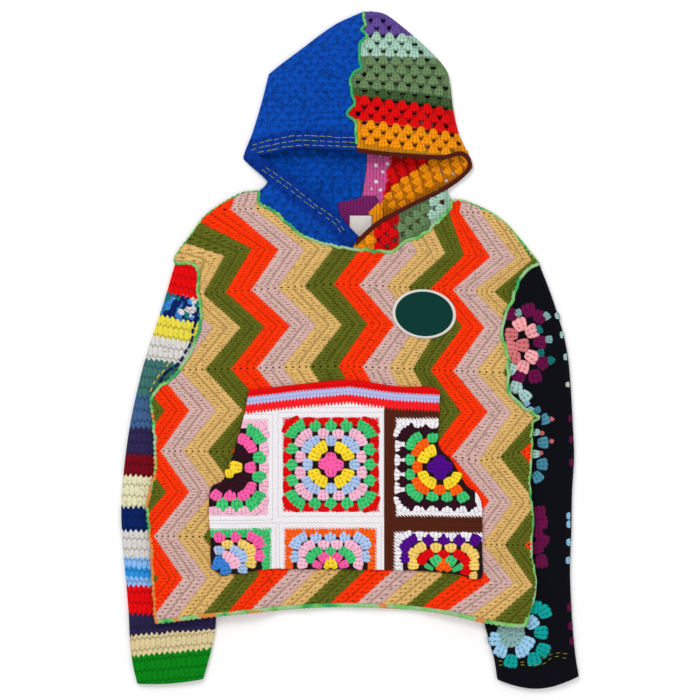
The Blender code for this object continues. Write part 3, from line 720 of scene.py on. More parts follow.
class Dyer:
    """Makes the finishes of all the pieces.

    Each pattern works out the cavity between stitches, from 0 to 1, darkened as painted shade, and the
    height of the stitches.
    Its numbers from 0 to 1 are shares of a stitch or of that cavity, and its sizes are millimetres.
    """

    RIPPLE = (Yarn.ORANGE, Yarn.MAUVE, Yarn.TAN, Yarn.OLIVE)
    STITCHES = 15.0  # in the ripple, from one row of points to the next
    ROW_GAP = 61.5  # from one row of points to the next
    EYELET_GAP = 9.5  # a stripe has four eyelets
    FAN_WIDE, FAN_HIGH = 16.5, 10.4  # of the shell stitch
    HEM_BAND = (24.0, 30.0)  # where the blue's darker band fades out
    POST, STRIPE_ROW = 7.8, 16.0  # of the striped sleeve
    MOTTLED = (43.0, 82.0)  # below the sleeve's top
    MOTTLES = (  # yarn, size of its lumps, their stretch, growth towards the body, and where they start
        (Yarn.MID_BLUE, 11.0, 1.5, (1, 0.6, 1), 0.0, 0.52),
        (Yarn.GREY_WHITE, 13.0, 1.0, (1, 1, 1), 0.009, 0.62),
        (Yarn.TEAL, 15.0, 1.0, (1.3, 1, 1), 0.0, 0.6),
    )
    SERGING = (
        (0.0, Yarn.SERGE_TEAL), (0.36, Yarn.SERGE_GREEN), (0.46, Yarn.SERGE_LIME), (0.6, Yarn.SERGE_PALE),
    )

    def ripple(self, name: str) -> Material:
        """Chevron ripple.

        u counts stripes and v rows of points. The colour holds for one stripe in four; each stripe has
        two ripple rows with a pinhole to each stitch, a valley between the two, and four eyelets on every
        second row of points. Painted shade darkens the pinholes, the valley and random specks, and turns
        the eyelets near black.
        """
        graph = Graph(name, WORSTED)
        u, v = graph.stitch()
        stitch, row = v * self.STITCHES, u * 2
        toothed = u + ((stitch.centred() - 0.5) * 0.07 + graph.stray(9.0, 0.05))
        stops = [(place / len(self.RIPPLE), yarn) for place, yarn in enumerate(self.RIPPLE)]
        colour = graph.ramp((toothed / len(self.RIPPLE)).fract(), stops)
        across, side = row.centred(), (stitch + row.floor() * 0.5).centred()
        gap = 1 - side
        loose = graph.noise(6.0, 1.0)
        pin = 1 - (across * across * 17 + gap * gap * 4.2 + (0.5 - loose)).fade(0.25, 0.95)
        middle = (u.fract() - 0.5).size() < 0.25
        valley = across.fade(0.66, 1.0) * (0.5 + 0.5 * side.fade(0.2, 0.9)) * (0.34 + 0.42 * middle)
        turned = ((v + 1) / 2).fract()
        past = (turned - (turned > 0.5)) * (2 * self.ROW_GAP)
        beside = ((u * 4).fract() - 0.5) * self.EYELET_GAP
        calm = (past * past).fade(3.0, 12.0)
        eyelet = 1 - (past * past + beside * beside).fade(0.7, 3.4)
        specks = graph.noise(4.2, 2.0).fade(0.57, 0.68) * 0.6
        # painted shade: pinholes, valley, specks and eyelets darken the colour through the cavity
        cavity = ((pin * 0.85).most(valley).most(specks) * calm).most(eyelet * 1.2)
        cavity = cavity.most(side.fade(0.72, 1.0) * 0.22) + (graph.noise(12.0, 3.0) - 0.48) * 0.3
        return graph.finished(colour, cavity, side.swell() * 0.45 + across.swell() * 0.9)

    def tinted(self, name: str, finish: Finish = WORSTED) -> Material:
        """Cloth or clusters in their own colours; u counts posts and v runs along them in the clusters."""
        graph = Graph(name, finish)
        u, v = graph.stitch()
        loose = graph.noise(5.0, 2.0)
        post = (u + (loose - 0.5) * 0.5).centred()
        wrap = (v * 1.6 + post * 0.5 + loose).centred()
        cavity = (post.fade(0.75, 1.0) * 0.22).most(post.fade(0.5, 0.9) * wrap.fade(0.45, 0.85) * 0.7)
        cavity = cavity.most(loose.fade(0.56, 0.7) * 0.3)
        return graph.finished(graph.tint(), cavity, post.swell() * 0.5 + (1 - wrap) * 0.4 + loose)

    def shells(self, name: str) -> Material:
        """Blue shell stitch, with the darker hem band where u, the way to the face edge, is short.

        Each row of fans is moved by half a fan. A fan is round about its foot, with a hole there that is
        darkened as painted shade.
        """
        graph = Graph(name, FUZZY)
        u, _ = graph.stitch()
        x, y, _ = graph.place()
        wobble = graph.stray(24.0, 11.0)
        row = (y + wobble) / self.FAN_HIGH
        fan = (x + wobble) / self.FAN_WIDE + row.floor() * 0.5
        aside, up = fan.fract() - 0.5, row.fract()
        out = aside * aside * 3.4 + up * up * 0.9
        post = (aside / (up + 0.35) * 5.0).centred()
        hole = 1 - (aside * aside * 30 + up * up * 26).fade(0.2, 1.0)
        band = 1 - (u + graph.stray(18.0, 6)).fade(*self.HEM_BAND)
        cavity = (out.fade(0.62, 0.98) * 0.42).most(hole * 0.75) * (1 - band * 0.75)
        lumps = graph.noise(6.0, 3.0)
        cavity = (cavity * (0.35 + graph.noise(30.0) * 1.3)).most(lumps.fade(0.48, 0.64) * 0.6)
        colour = graph.mix(band * 0.8, graph.colour(Yarn.BLUE), graph.colour(Yarn.HEM_BLUE))
        shape = (1 - out.least(1.0)) * 0.7 + (1 - post) * 0.25 * (1 - band) + lumps * 1.3
        return graph.finished(colour, cavity, shape)

    def striped(self, name: str, stripes: list, top: float, long: float) -> Material:
        """Cross stripes of the left sleeve, by height y less a lean; toothed where colours meet.

        The lean grows towards the shoulder and is lost at the wrist. One stripe is mottled. A stripe
        has its start, in millimetres below the top, and its yarn; long is the length that they span.
        """
        graph = Graph(name, WORSTED)
        x, y, z = graph.place()
        lean = 0.05 + 0.2 * ((y + 120) / 200).held() - 0.145 * ((-395 - y) / 30).held()
        tooth = 4.8 * ((x + z) / self.POST).centred()
        level = top + 4 - (y + (x + 270) * lean) + tooth + graph.stray(14.0, 5)
        colour = graph.ramp(level / long, [(at / long, yarn) for at, yarn in stripes])
        mottled = (level > self.MOTTLED[0]) * (level < self.MOTTLED[1])
        for yarn, size, detail, stretch, growth, start in self.MOTTLES:
            lump = (graph.noise(size, detail, stretch) + (x + 250) * growth).fade(start, start + 0.04)
            colour = graph.mix(mottled * lump, colour, graph.colour(yarn))
        row = (level - tooth + 4.0) / self.STRIPE_ROW
        side, across = ((x + z * 0.8) / self.POST + row.floor() * 0.5).centred(), row.centred()
        groove = side.fade(0.55, 0.95) * (1 - across.fade(0.4, 0.9)) * 0.16
        hole = side.fade(0.62, 0.9) * across.fade(0.5, 0.8) * 0.75
        cavity = groove.most(across.fade(0.72, 1.0) * 0.3).most(hole)
        cavity = cavity.most(graph.noise(4.5, 2.0).fade(0.58, 0.7) * 0.5)
        return graph.finished(colour, cavity, side.swell() * 0.6 + across.swell() * 0.4)

    def plain(self, name: str, yarn: Yarn, finish: Finish, pitch: float) -> Material:
        """One yarn in rows of small stitches, a little higher than their pitch."""
        graph = Graph(name, finish)
        x, y, _ = graph.place()
        row = y / (pitch * 1.1)
        side, across = (x / pitch + row.floor() * 0.5).centred(), row.centred()
        cavity = (side.fade(0.7, 1.0) * 0.5).most(across.fade(0.7, 1.0) * 0.4)
        return graph.finished(graph.colour(yarn), cavity, side.swell() * 0.5 + across.swell() * 0.5)

    def serged(self, name: str) -> Material:
        """Variegated overlock thread: u runs round the edge and v along it, in millimetres.

        It is bluer at the hood's left, and has amber lengths low on the body.
        """
        graph = Graph(name, THREADY)
        u, v = graph.stitch()
        x, y, _ = graph.place()
        where = graph.noise(24.0, 1.5) - (y > 170.0) * (x < 24.0) * 0.17
        colour = graph.ramp(where, self.SERGING, smooth=True)
        low = (y < -90.0) * (x < 240.0)
        amber = (graph.noise(31.0, 1.0) + (x < -200.0) * 0.12).fade(0.56, 0.6)
        colour = graph.mix(low * amber, colour, graph.colour(Yarn.SERGE_AMBER))
        strand = (v / 1.7 + u).centred()
        fuzz = graph.noise(2.2, 2.0).fade(0.5, 0.62)
        return graph.finished(colour, (strand.fade(0.5, 1.0) * 0.5).most(fuzz * 0.5), strand.swell())

    def twisted(self, name: str, yarn: Yarn, pitch: float) -> Material:
        """A folded crochet edge: slanting stitches along a tube."""
        graph = Graph(name, WORSTED)
        u, v = graph.stitch()
        strand = (v / pitch + u * 2.0).centred()
        return graph.finished(graph.colour(yarn), strand.fade(0.6, 1.0) * 0.55, strand.swell())


# Crochet


class Ripple:
    """Chevron ripple: u counts stripes from the left, v rows of points from the shoulders down."""

    ROWS = (
        (270, 270, 270), (207, 214, 204), (147, 153, 134), (81, 99, 87), (33, 39, 32), (-30, -24, -34),
        (-90, -92, -93), (-151, -154, -161), (-212, -220, -228), (-278, -284, -291), (-341, -323, -352),
        (-425, -425, -430), (-465, -465, -470),
    )
    ROW_KNOTS = (-2, 4, 11)  # the stripes where each row's three heights were measured
    LAST_STRIPES = {
        -3: (-315, -278, -245, -210, -186, -148, -116, -77, -42, -4, 33, 53, 89, 136, 183, 243, 285),
    }
    STRIPES = (  # of each row of points: the first of a run of neighbours, and where each of them starts
        {-4: (-435,), 0: (-202,), 4: (-30,), 8: (135,), 12: (292,)},
        {-2: (-555, -390, -258, -178, -144, -98), 7: (111, 148, 164, 196, 232)},
        {-3: (-288, -247, -188, -147, -107, -68), 7: (143, 171, 210, 248, 272)},
        {-1: (-220, -186, -148, -108, -68, -24, 14, 54, 87, 121, 154, 186, 216)},
        {-2: (-206, -164, -128, -90, -51, -12, 26, 66), 8: (168, 201, 240)},
        {-1: (-217, -178, -140, -101, -61, -17, 19, 58, 94, 121, 155, 189, 228)},
        {-3: (-240, -200, -161), 8: (166, 206, 241, 282)},
        {-3: (-283, -249, -213), 9: (153, 192, 224, 255)},
        {-4: (-274, -240, -204), 9: (208, 242)},
        {-3: (-293, -259, -220), 10: (198, 231, 262)},
        {-3: (-250, -213, -172, -135, -92, -49, -10, 30, 68, 102, 139, 165, 210, 245, 273)},
        LAST_STRIPES,
        LAST_STRIPES,
    )
    BENDS = {2: ((-3, -2, -1, 0, 1), (-24, -16, -7, 3, 0)), 7: ((9, 10, 11, 12, 13), (0, -6, 1, 9, 12))}
    STRIPE_WIDE = 36.5
    FIRST, LAST = -8.0, 15.0  # stripes
    TOP, BOTTOM = 0.4, 11.2  # rows of points

    def grid(self, per_stripe: int, per_row: int) -> tuple[Array, Array]:
        """The plan, and u and v, of a grid of points, from the hem up.

        Between two rows of points, a stripe's edge runs straight from its place on one row to its place
        on the next; past a row's last known stripe it goes on by one stripe's width at a time.
        """
        u = np.arange(self.FIRST * per_stripe, self.LAST * per_stripe + 1) / per_stripe
        v = np.arange(self.BOTTOM * per_row, self.TOP * per_row, -1).round() / per_row
        across = np.empty((len(self.STRIPES), len(u)))
        for line, runs in zip(across, self.STRIPES):
            stripe = [first + k for first, run in runs.items() for k in range(len(run))]
            x = [place for run in runs.values() for place in run]
            past = np.minimum(u - stripe[0], 0) + np.maximum(u - stripe[-1], 0)
            line[:] = np.interp(u, stripe, x) + past * self.STRIPE_WIDE
        level = np.array([np.interp(u, self.ROW_KNOTS, heights) for heights in self.ROWS])
        for bent, bend in self.BENDS.items():
            level[bent] += np.interp(u, *bend)
        row = np.minimum(v.astype(int), len(across) - 2)
        share = (v - row)[:, None]
        plan = np.dstack([(1 - share) * part[row] + share * part[row + 1] for part in (across, level)])
        return plan, np.dstack(np.meshgrid(u, v))


class Clusters:
    """Granny clusters: each is a low fan of three posts, narrow at its foot and round at its top."""

    ACROSS, UP = 11, 6  # points of a fan's grid
    POSTS = 3

    def __init__(self, ground, high: float = 1.9, sink: float = 0.7, foot: float = 0.6, seed: int = 3,
                 straight: float = 0.0) -> None:
        """Starts a set of fans on the ground, a function that gives the cloth's height over a point.

        high is how far a fan stands out of it, sink how far its edge lies under it, foot the width of
        its foot over that of its top, and straight is 1 for straight sides and 0 for round ones.
        """
        self.ground, self.high, self.sink, self.foot, self.straight = ground, high, sink, foot, straight
        self.rng = np.random.default_rng(seed)
        self.rows: list = []

    def add(self, x: float, y: float, turn: float, wide: float, long: float, yarn: Yarn) -> None:
        """One fan whose middle is at x, y and which points along the turn, in radians from +X."""
        self.rows.append((x, y, turn, wide, long, *yarn.linear))

    def build(self) -> Build:
        """All the fans as closed bodies.

        Across a fan its height falls off as the root of 1 less the fourth power of the way out, with
        three soft posts; along it, as the root of a sine.
        """
        fans = np.array(self.rows)
        count = len(fans)
        fans[:, :2] += self.rng.normal(0, 0.35, (count, 2))
        fans[:, 2] += self.rng.normal(0, 0.06, count)
        fans[:, 3:5] *= self.rng.normal(1, 0.035, (count, 2))
        a, w = np.meshgrid(np.linspace(-1, 1, self.ACROSS), np.linspace(0, 1, self.UP))
        swell = np.sin(0.5 * math.pi * np.minimum(w * 1.2, 1))
        half = self.foot + (1 - self.foot) * (swell + self.straight * (np.minimum(w * 1.1, 1) - swell))
        ahead = (w - 0.5) + 0.08 * w * (1 - a * a) - 0.12 * w * a**4 + 0.08 * (1 - w) * a * a
        dome = np.sqrt(np.clip(1 - a**4, 0, 1)) * np.sqrt(np.sin(math.pi * np.clip(w, 0.0, 1.0)).clip(0))
        dome = dome * (0.84 + 0.16 * np.cos(self.POSTS * math.pi * a))
        x, y, turn, wide, long = (fans[:, k, None, None] for k in range(5))
        lateral, forward = 0.5 * wide * a * half, long * ahead
        px = x + forward * np.cos(turn) - lateral * np.sin(turn)
        py = y + forward * np.sin(turn) + lateral * np.cos(turn)
        pz = self.ground(px, py) - self.sink + (self.high + self.sink) * dome
        size = self.ACROSS * self.UP
        index = np.arange(size).reshape(self.UP, self.ACROSS)
        rim = np.concatenate([index[0, :-1], index[:-1, -1], index[-1, :0:-1], index[:0:-1, 0]])
        starts = (np.arange(count) * size)[:, None, None]
        faces = [(quads(index) + starts).reshape(-1, 4), (rim[::-1] + starts).reshape(count, -1)]
        uv = np.tile(np.dstack([(a + 1) * self.POSTS / 2, w * 2.2]).reshape(-1, 2), (count, 1))
        shade = self.rng.normal(1, 0.03, count)
        tint = np.repeat(np.clip(fans[:, 5:8] * shade[:, None], 0, 1), size, axis=0)
        return Build(np.stack([px, py, pz], axis=-1).reshape(-1, 3), faces, uv, tint)


# The pieces


def dressed(thing: Thing, node: str) -> Thing:
    """The piece rides on the body and stands for its CAD node, which is hidden."""
    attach(thing, BODY)
    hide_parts(node)
    return thing


def trimmed(thing: Thing) -> Thing:
    """Sewing or clusters that no CAD node stands for."""
    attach(thing, BODY)
    return thing


def seam_line(curve, gap: float) -> Array:
    """A seam's curve moved to its right by the gap left at a seam."""
    curve = spline(curve)
    return curve + gap * normals(curve)


def body_outline(neck_left, neck_right) -> Array:
    """The panel's plan, counter-clockwise from the left end of the neck."""
    left = [spline(SHOULDER_LEFT)[1:], spline(ARMHOLE_LEFT), spline(SIDE_LEFT), spline(HEM)]
    right = [spline(SIDE_RIGHT)[::-1], spline(ARMHOLE_RIGHT)[::-1], spline(SHOULDER_RIGHT)[-2:0:-1]]
    return np.vstack(left + right + [seam_line(neck_right, SEAM)[::-1], seam_line(neck_left, -SEAM)[1:]])


class Panels:
    """Front and back of the body."""

    SPARE = 9  # cloth left past the outline until it is cut

    def __init__(self, terrain: Terrain, dyer: Dyer) -> None:
        self.terrain, self.dyer, self.ripple = terrain, dyer, Ripple()

    def panel(self, name: str, outline: Array, fine: tuple, under, over, material) -> Thing:
        """One panel of ripple, cut to its outline.

        fine holds its columns to a stripe and grid rows to a row of points; under and over are functions
        that give its heights over a point, the latter in the valleys between its ribs.
        """
        plan, uv = self.ripple.grid(*fine)
        x, y = plan[..., 0], plan[..., 1]
        rib = RIB * np.abs(np.sin(2 * math.pi * uv[..., 0]))
        keep = covered(*middles(plan), outline, self.SPARE)
        thing = cloth(name, plan, over(x, y) + rib, under(x, y), material, uv=uv, keep=keep)
        cut(thing, outline, "INTERSECT")
        return thing

    def build(self) -> None:
        """Both panels, of one material."""
        terrain, ripple = self.terrain, self.dyer.ripple("ripple")
        outline = body_outline(NECK_LEFT, NECK_RIGHT)
        front = self.panel("front_cloth", outline, (10, 14), terrain.front_under, terrain.front_over, ripple)
        dressed(front, "front_panel")
        outline, over = body_outline(BACK_NECK_LEFT, BACK_NECK_RIGHT), raised(terrain.back_under, WALL - RIB)
        back = self.panel("back_cloth", outline, (4, 8), terrain.back_under, over, ripple)
        dressed(back, "back_panel")


@dataclass(frozen=True)
class Square:
    """A granny square.

    Each pair is across and up: its middle, how far out its first round lies, the step from one round
    to the next, and half its size. Its yarns run from the centre out.
    """

    middle: tuple[float, float]
    first: tuple[float, float]
    step: tuple[float, float]
    half: tuple[float, float]
    yarns: tuple


class Pocket:
    """The pouch pocket: six granny squares on white and brown sashing under a striped band."""

    SQUARES = (
        Square((-28.5, -171.5), (24, 24.5), (10.7, 10.4), (71.6, 70.3),
               (Yarn.HOT_PINK, Yarn.YELLOW, Yarn.SKY, Yarn.PALE_PINK, Yarn.GREEN, Yarn.RED)),
        Square((-179.3, -175.5), (18.8, 29.0), (11.2, 11.6), (56.5, 71.5),
               (Yarn.YELLOW, Yarn.MAROON_BLACK, Yarn.HOT_PINK, Yarn.GREEN, Yarn.PALE_PINK)),
        Square((134.3, -175.2), (23.3, 23.3), (10.0, 10.0), (65.4, 73.5),
               (Yarn.VIOLET, Yarn.YELLOW, Yarn.DEEP_ORANGE, Yarn.GREEN, Yarn.MAROON_BLACK, Yarn.WHITE)),
        Square((-194.3, -325.5), (21.8, 16.5), (11.7, 9.2), (76.4, 59.0),
               (Yarn.MID_BLUE, Yarn.PALE_PINK, Yarn.SKY, Yarn.PALE_TAN, Yarn.HOT_PINK, Yarn.GREEN)),
        Square((-29.3, -327.0), (19.5, 15.0), (10.5, 9.8), (68.9, 60.5),
               (Yarn.YELLOW, Yarn.HOT_PINK, Yarn.GREEN, Yarn.PALE_PINK, Yarn.SKY, Yarn.DEEP_ORANGE)),
        Square((139.5, -328.5), (21.0, 12.8), (11.4, 9.8), (73.5, 56.4),
               (Yarn.DEEP_ORANGE, Yarn.GREEN, Yarn.RED, Yarn.PALE_TAN, Yarn.VIOLET, Yarn.WHITE)),
    )
    BAND = (  # its stripes from the lowest up: how far down each reaches, its teeth and its yarn
        (37.0, 1.0, Yarn.BRIGHT_RED), (23.5, 0.7, Yarn.LILAC), (11.5, 0.5, Yarn.RED),
    )
    BAND_LONG = 35.0
    SASH_SPLIT = 51.0  # white sashing to the left of this x, brown to the right
    CORNER, USUAL_STEP = 10.5, 10.7
    PIT = 13.0  # inside a square's edge the ground is in the shade of its clusters
    POST, BAND_ROW, SASH_ROW = 5.0, 5.8, 7.4
    # The centre's fans: how far out their middles lie, how wide and how long they are
    UPRIGHT, DIAGONAL = (10.3, 22.0, 20.0), (5.5, 20.0, 14.0)
    POKE = 1.8  # how far the last round but one shows past its place
    FAN_OVERLAP, FAN_WIDEST = 4.5, 20.5
    EDGE_ROOM = 4.5  # from a fan's middle to the pocket's edge
    PITCH = 3.4  # of the cloth's grid

    def __init__(self, terrain: Terrain, dyer: Dyer) -> None:
        self.terrain, self.dyer = terrain, dyer
        self.outline = spline(POCKET + POCKET[:1], 6)[:-1]

    def under(self, x, y):
        """Underside of the pocket, on the front's ribs."""
        return self.terrain.front_over(x, y) + RIB + SEAM

    def ground(self, x, y):
        """Top of its cloth between the clusters."""
        return self.under(x, y) + WALL - 0.2

    def material(self) -> Material:
        """Sashing, band and the ground of the squares, by the plan; v is the way down from the top edge."""
        graph = Graph("pocket_ground", WORSTED)
        _, below = graph.stitch()
        x, y, _ = graph.place()
        loose = graph.stray(8.0, 3.0)
        slanting, upright = (x + y) / self.POST, x / self.POST
        teeth = slanting.centred() * 4.6 + loose
        band_teeth = upright.centred() * 5.4 + loose
        colour = graph.mix(x > self.SASH_SPLIT, graph.colour(Yarn.WHITE), graph.colour(Yarn.SASH_BROWN))
        edges = []
        for square in self.SQUARES:
            (cx, cy), (half_wide, half_high) = square.middle, square.half
            edges.append(((x - cx).size() - half_wide).most((y - cy).size() - half_high))
            colour = graph.mix((edges[-1] + teeth) < 1.5, colour, graph.colour(square.yarns[-1]))
        near = reduce(Signal.least, edges)
        pits = near < -self.PIT
        colour = graph.mix(pits, colour, graph.colour(Yarn.SHADOW))
        for down, toothed, yarn in self.BAND:
            colour = graph.mix((below + band_teeth * toothed) < down, colour, graph.colour(yarn))
        band = below < self.BAND_LONG
        row = band * (below / self.BAND_ROW) + (1 - band) * (near / self.SASH_ROW)
        post = band * upright + (1 - band) * slanting
        side, across = (post + loose / 12).centred(), (row + loose / 14).centred()
        groove = side.fade(0.55, 1.0) * 0.26 * (1 - across * 0.5)
        cavity = groove.most(across.fade(0.7, 1.0) * 0.34) * (1 - pits)
        return graph.finished(colour, cavity, side.swell() * 0.5 + across.swell() * 0.5)

    def centre(self, square: Square) -> list[tuple]:
        """The clusters of a square's centre, which point inwards on its sides and outwards between them."""
        spots = []
        for quarter in range(4):
            for shift, turned, (out, wide, long) in ((0.0, math.pi, self.UPRIGHT), (0.5, 0.0, self.DIAGONAL)):
                angle = (quarter + shift) * math.pi / 2
                x, y = square.middle[0] + out * math.cos(angle), square.middle[1] + out * math.sin(angle)
                spots.append((x, y, angle + turned, wide, long, square.yarns[0]))
        return spots

    def round(self, square: Square, ring: int) -> list[tuple]:
        """The clusters of one round: ring + 1 on each side, spread evenly from corner to corner.

        The ends of a side are held in from the corner, and lean into it, so that two clusters share it.
        """
        spots, (cx, cy) = [], square.middle
        from_last = len(square.yarns) - 1 - ring
        last, poke = from_last == 0, from_last == 1
        out = [square.first[k] + (ring - 1) * square.step[k] - 1.0 * last + self.POKE * poke for k in (0, 1)]
        for side in range(4):
            upright, sign = side % 2, 1 if side < 2 else -1
            far, aside = out[upright], out[1 - upright]
            end = aside - self.CORNER * min(1.0, square.step[1 - upright] / self.USUAL_STEP)
            places = np.linspace(-end, end, ring + 1)
            wide = min(self.FAN_WIDEST, (places[1] - places[0]) * 0.98 + self.FAN_OVERLAP)
            long = square.step[upright] * (1.15 if last else 2.0 if ring == 1 or poke else 1.7)
            for place in places:
                lean = 0.42 * place / max(end, 1) * (abs(place) > end - 1)
                x, y = (place, sign * far) if upright else (sign * far, place)
                angle = math.atan2(sign, 0) - lean * sign if upright else math.atan2(0, sign) + lean * sign
                spots.append((cx + x, cy + y, angle, wide, long, square.yarns[ring]))
        return spots

    def fans(self) -> Clusters:
        """The clusters of all the squares that lie inside the pocket, smaller where they meet its edge."""
        fans = Clusters(self.ground, high=2.0)
        for square in self.SQUARES:
            spots = self.centre(square)
            for ring in range(1, len(square.yarns)):
                spots += self.round(square, ring)
            plan = np.array([spot[:2] for spot in spots])
            room = distance_to(*plan.T, closed(self.outline)) * np.where(inside(*plan.T, self.outline), 1, -1)
            for (x, y, angle, wide, long, yarn), free in zip(spots, room):
                if free > self.EDGE_ROOM:
                    size = min(1.0, 0.3 + free / 12)
                    fans.add(x, y, angle, wide * size, long * size, yarn)
        return fans

    def build(self) -> None:
        """The cloth, whose grid follows its top edge down, and the clusters on it."""
        x = np.arange(-216, 206, self.PITCH)
        top = np.interp(x, *np.array(POCKET[:5], float).T)
        down = np.arange(-6, 300, self.PITCH)[::-1]
        plan = np.dstack([np.broadcast_to(x, (len(down), len(x))), top[None, :] - down[:, None]])
        uv = np.dstack(np.meshgrid(x, down))
        px, py = plan[..., 0], plan[..., 1]
        heights = self.ground(px, py), self.under(px, py)
        thing = cloth("pocket_ground", plan, *heights, self.material(), uv=uv)
        cut(thing, self.outline, "INTERSECT")
        dressed(thing, "pocket")
        fans = self.fans().build().object("pocket_clusters", self.dyer.tinted("pocket_yarns"))
        trimmed(fans)


class ChestPatch:
    """The bare oval patch: dark green twill inside a satin-stitched rim."""

    CENTRE, HALF, LEAN = (111.0, 54.0), (48.0, 37.0), math.radians(-6.0)
    THICK, RIM_HIGH = 1.6, 0.9
    RIM_START, RIM_MIDDLE, RIM_HALF = 0.9, 0.945, 0.055  # shares of the way out

    def __init__(self, terrain: Terrain) -> None:
        self.terrain = terrain

    def material(self) -> Material:
        """u is the share of the way out to the edge."""
        graph = Graph("patch_twill", WOVEN)
        share, _ = graph.stitch()
        x, y, _ = graph.place()
        rim = share > self.RIM_START
        twill = ((x + y) / 1.1).centred()
        angle = graph.maths("ARCTAN2", (y - self.CENTRE[1]) * 1.3, x - self.CENTRE[0])
        satin = (angle * 62.0).centred()
        colour = graph.mix(rim, graph.colour(Yarn.BADGE), graph.colour(Yarn.RIM))
        side = rim * satin + (1 - rim) * twill
        step = 1 - ((share - self.RIM_START).size() * 60).least(1.0)
        return graph.finished(colour, (side.fade(0.6, 1.0) * 0.18).most(step * 0.5), 1 - side * side)

    def build(self) -> None:
        """A square grid mapped to the oval: x is u times the root of 1 less half of v squared."""
        u, v = np.meshgrid(np.linspace(-1, 1, 73), np.linspace(-1, 1, 73))
        across, up = u * np.sqrt(1 - v * v / 2), v * np.sqrt(1 - u * u / 2)
        share = np.hypot(across, up)
        x, y = across * self.HALF[0], up * self.HALF[1]
        plan = np.stack([x * math.cos(self.LEAN) - y * math.sin(self.LEAN),
                         x * math.sin(self.LEAN) + y * math.cos(self.LEAN)], axis=-1) + self.CENTRE
        under = self.terrain.front_over(plan[..., 0], plan[..., 1]) + RIB + SEAM
        rim = self.RIM_HIGH * np.sqrt(np.clip(1 - ((share - self.RIM_MIDDLE) / self.RIM_HALF) ** 2, 0, 1))
        edge = 0.9 * ease((share - 0.97) / 0.03)
        soft = 0.25 * uneven(plan[..., 0], plan[..., 1], 34, 8)
        uv = np.dstack([share, share])
        top = under + self.THICK + rim - edge + soft
        thing = cloth("patch_cloth", plan, top, under, self.material(), uv=uv)
        dressed(thing, "chest_patch")


class Sleeve:
    """A sleeve laid flat: a pressed tube whose folded edges are round."""

    HIGH = Terrain.SLEEVE_HIGH
    ROUND = 10.0  # how far in from a folded edge the sleeve is round
    BULGE = 4.0  # stations over which the armhole's curve dies out
    SLUMP, SLUMP_SIZE = 0.35, 70
    FOLD = (0, 0.3, 1.0, 2.2, 4.0, 6.5, 10.0)  # columns beside a folded edge, in millimetres from it
    STEPS, KNOTS = 150, 12  # rows down the sleeve, and steps of its outline to a station

    def __init__(self, node: str, slot: str, table, armhole, bow: float, side: int, creases: tuple) -> None:
        """Works out the sleeve's edges from its stations, each an outer and an inner edge point.

        bow is how far the cuff's middle hangs below its ends; side is 1 for the left, -1 for the right.
        """
        self.node, self.slot, self.bow, self.creases = node, slot, bow, creases
        self.table = np.array(table, dtype=float)
        seam = np.array(armhole, dtype=float)
        self.armhole = spline(seam + side * SEAM * normals(seam), 30)
        self.table[0] = [*self.armhole[0], *self.armhole[-1]]
        self.edges = spline(self.table[:, :2]), spline(self.table[:, 2:])

    def plan(self, station: Array, share: Array) -> Array:
        """Plan points at stations down the sleeve, for shares across it at each station.

        The armhole's own curve dies out over the first stations, and the cuff bows down at the end.
        """
        knots = spline(self.table, self.KNOTS)
        at = station * self.KNOTS
        rows = np.stack([np.interp(at, np.arange(len(knots)), column) for column in knots.T], axis=-1)
        start, end = rows[:, None, :2], rows[:, None, 2:]
        straight = self.armhole[0] + share[..., None] * (self.armhole[-1] - self.armhole[0])
        place = share * (len(self.armhole) - 1)
        curve = np.stack([np.interp(place, np.arange(len(self.armhole)), c) for c in self.armhole.T], axis=-1)
        weight = ease(np.clip(1 - station / self.BULGE, 0, 1))[:, None, None]
        plan = start + share[..., None] * (end - start) + weight * (curve - straight)
        droop = self.bow * np.clip(station - len(self.table) + 3, 0, None) / 2
        plan[..., 1] -= droop[:, None] * np.sin(math.pi * share)
        return plan

    def top(self, x, y):
        """Height of the upper side over a point of the plan."""
        return self.level(np.minimum(*(distance_to(x, y, edge) for edge in self.edges)), x, y)

    def level(self, away, x, y):
        """Height of the upper side, from the way in from the nearer edge."""
        bend = np.sqrt(1 - (1 - np.clip(away / self.ROUND, 0, 1)) ** 2)
        folds = sum(crease.lift(x, y) for crease in self.creases)
        slump = self.SLUMP * uneven(x, y, self.SLUMP_SIZE, 11)
        return self.HIGH / 2 + bend * (self.HIGH / 2 + slump + folds)

    def build(self, material) -> Thing:
        """The tube, its seam at the armhole's ends, in columns that crowd towards its folded edges."""
        rows = np.linspace(0, len(self.table) - 1, self.STEPS)
        edge = np.array(self.FOLD)
        ends = self.plan(rows, np.tile([[0.0, 1.0]], (len(rows), 1)))
        wide = np.linalg.norm(ends[:, 1] - ends[:, 0], axis=1)[:, None]
        middle = edge[-1] + np.linspace(0, 1, 34)[1:-1] * (wide - 2 * edge[-1])
        away = np.hstack([np.tile(edge, (len(rows), 1)), middle, wide - edge[::-1]])
        outer, inner = [], []
        for inset, sides in ((0.0, outer), (WALL, inner)):
            held = inset + away * (wide - 2 * inset) / wide
            plan = self.plan(rows, held / wide)
            high = self.level(np.minimum(away, wide - away), plan[..., 0], plan[..., 1])
            bend = (high - self.HIGH / 2) * (1 if inset == 0 else 0.4)
            top = self.HIGH / 2 + np.maximum(bend - inset * 0.2, 0.2)
            low = self.HIGH / 2 - np.maximum(np.minimum(bend, self.HIGH / 2) - inset * 0.2, 0.2)
            sides += [lay(plan, low), lay(plan, top)[:, ::-1]]
        ring = shell(np.hstack(outer), np.hstack(inner), around=True)
        thing = ring.object(self.node + "_cloth", material)
        return dressed(thing, self.node)


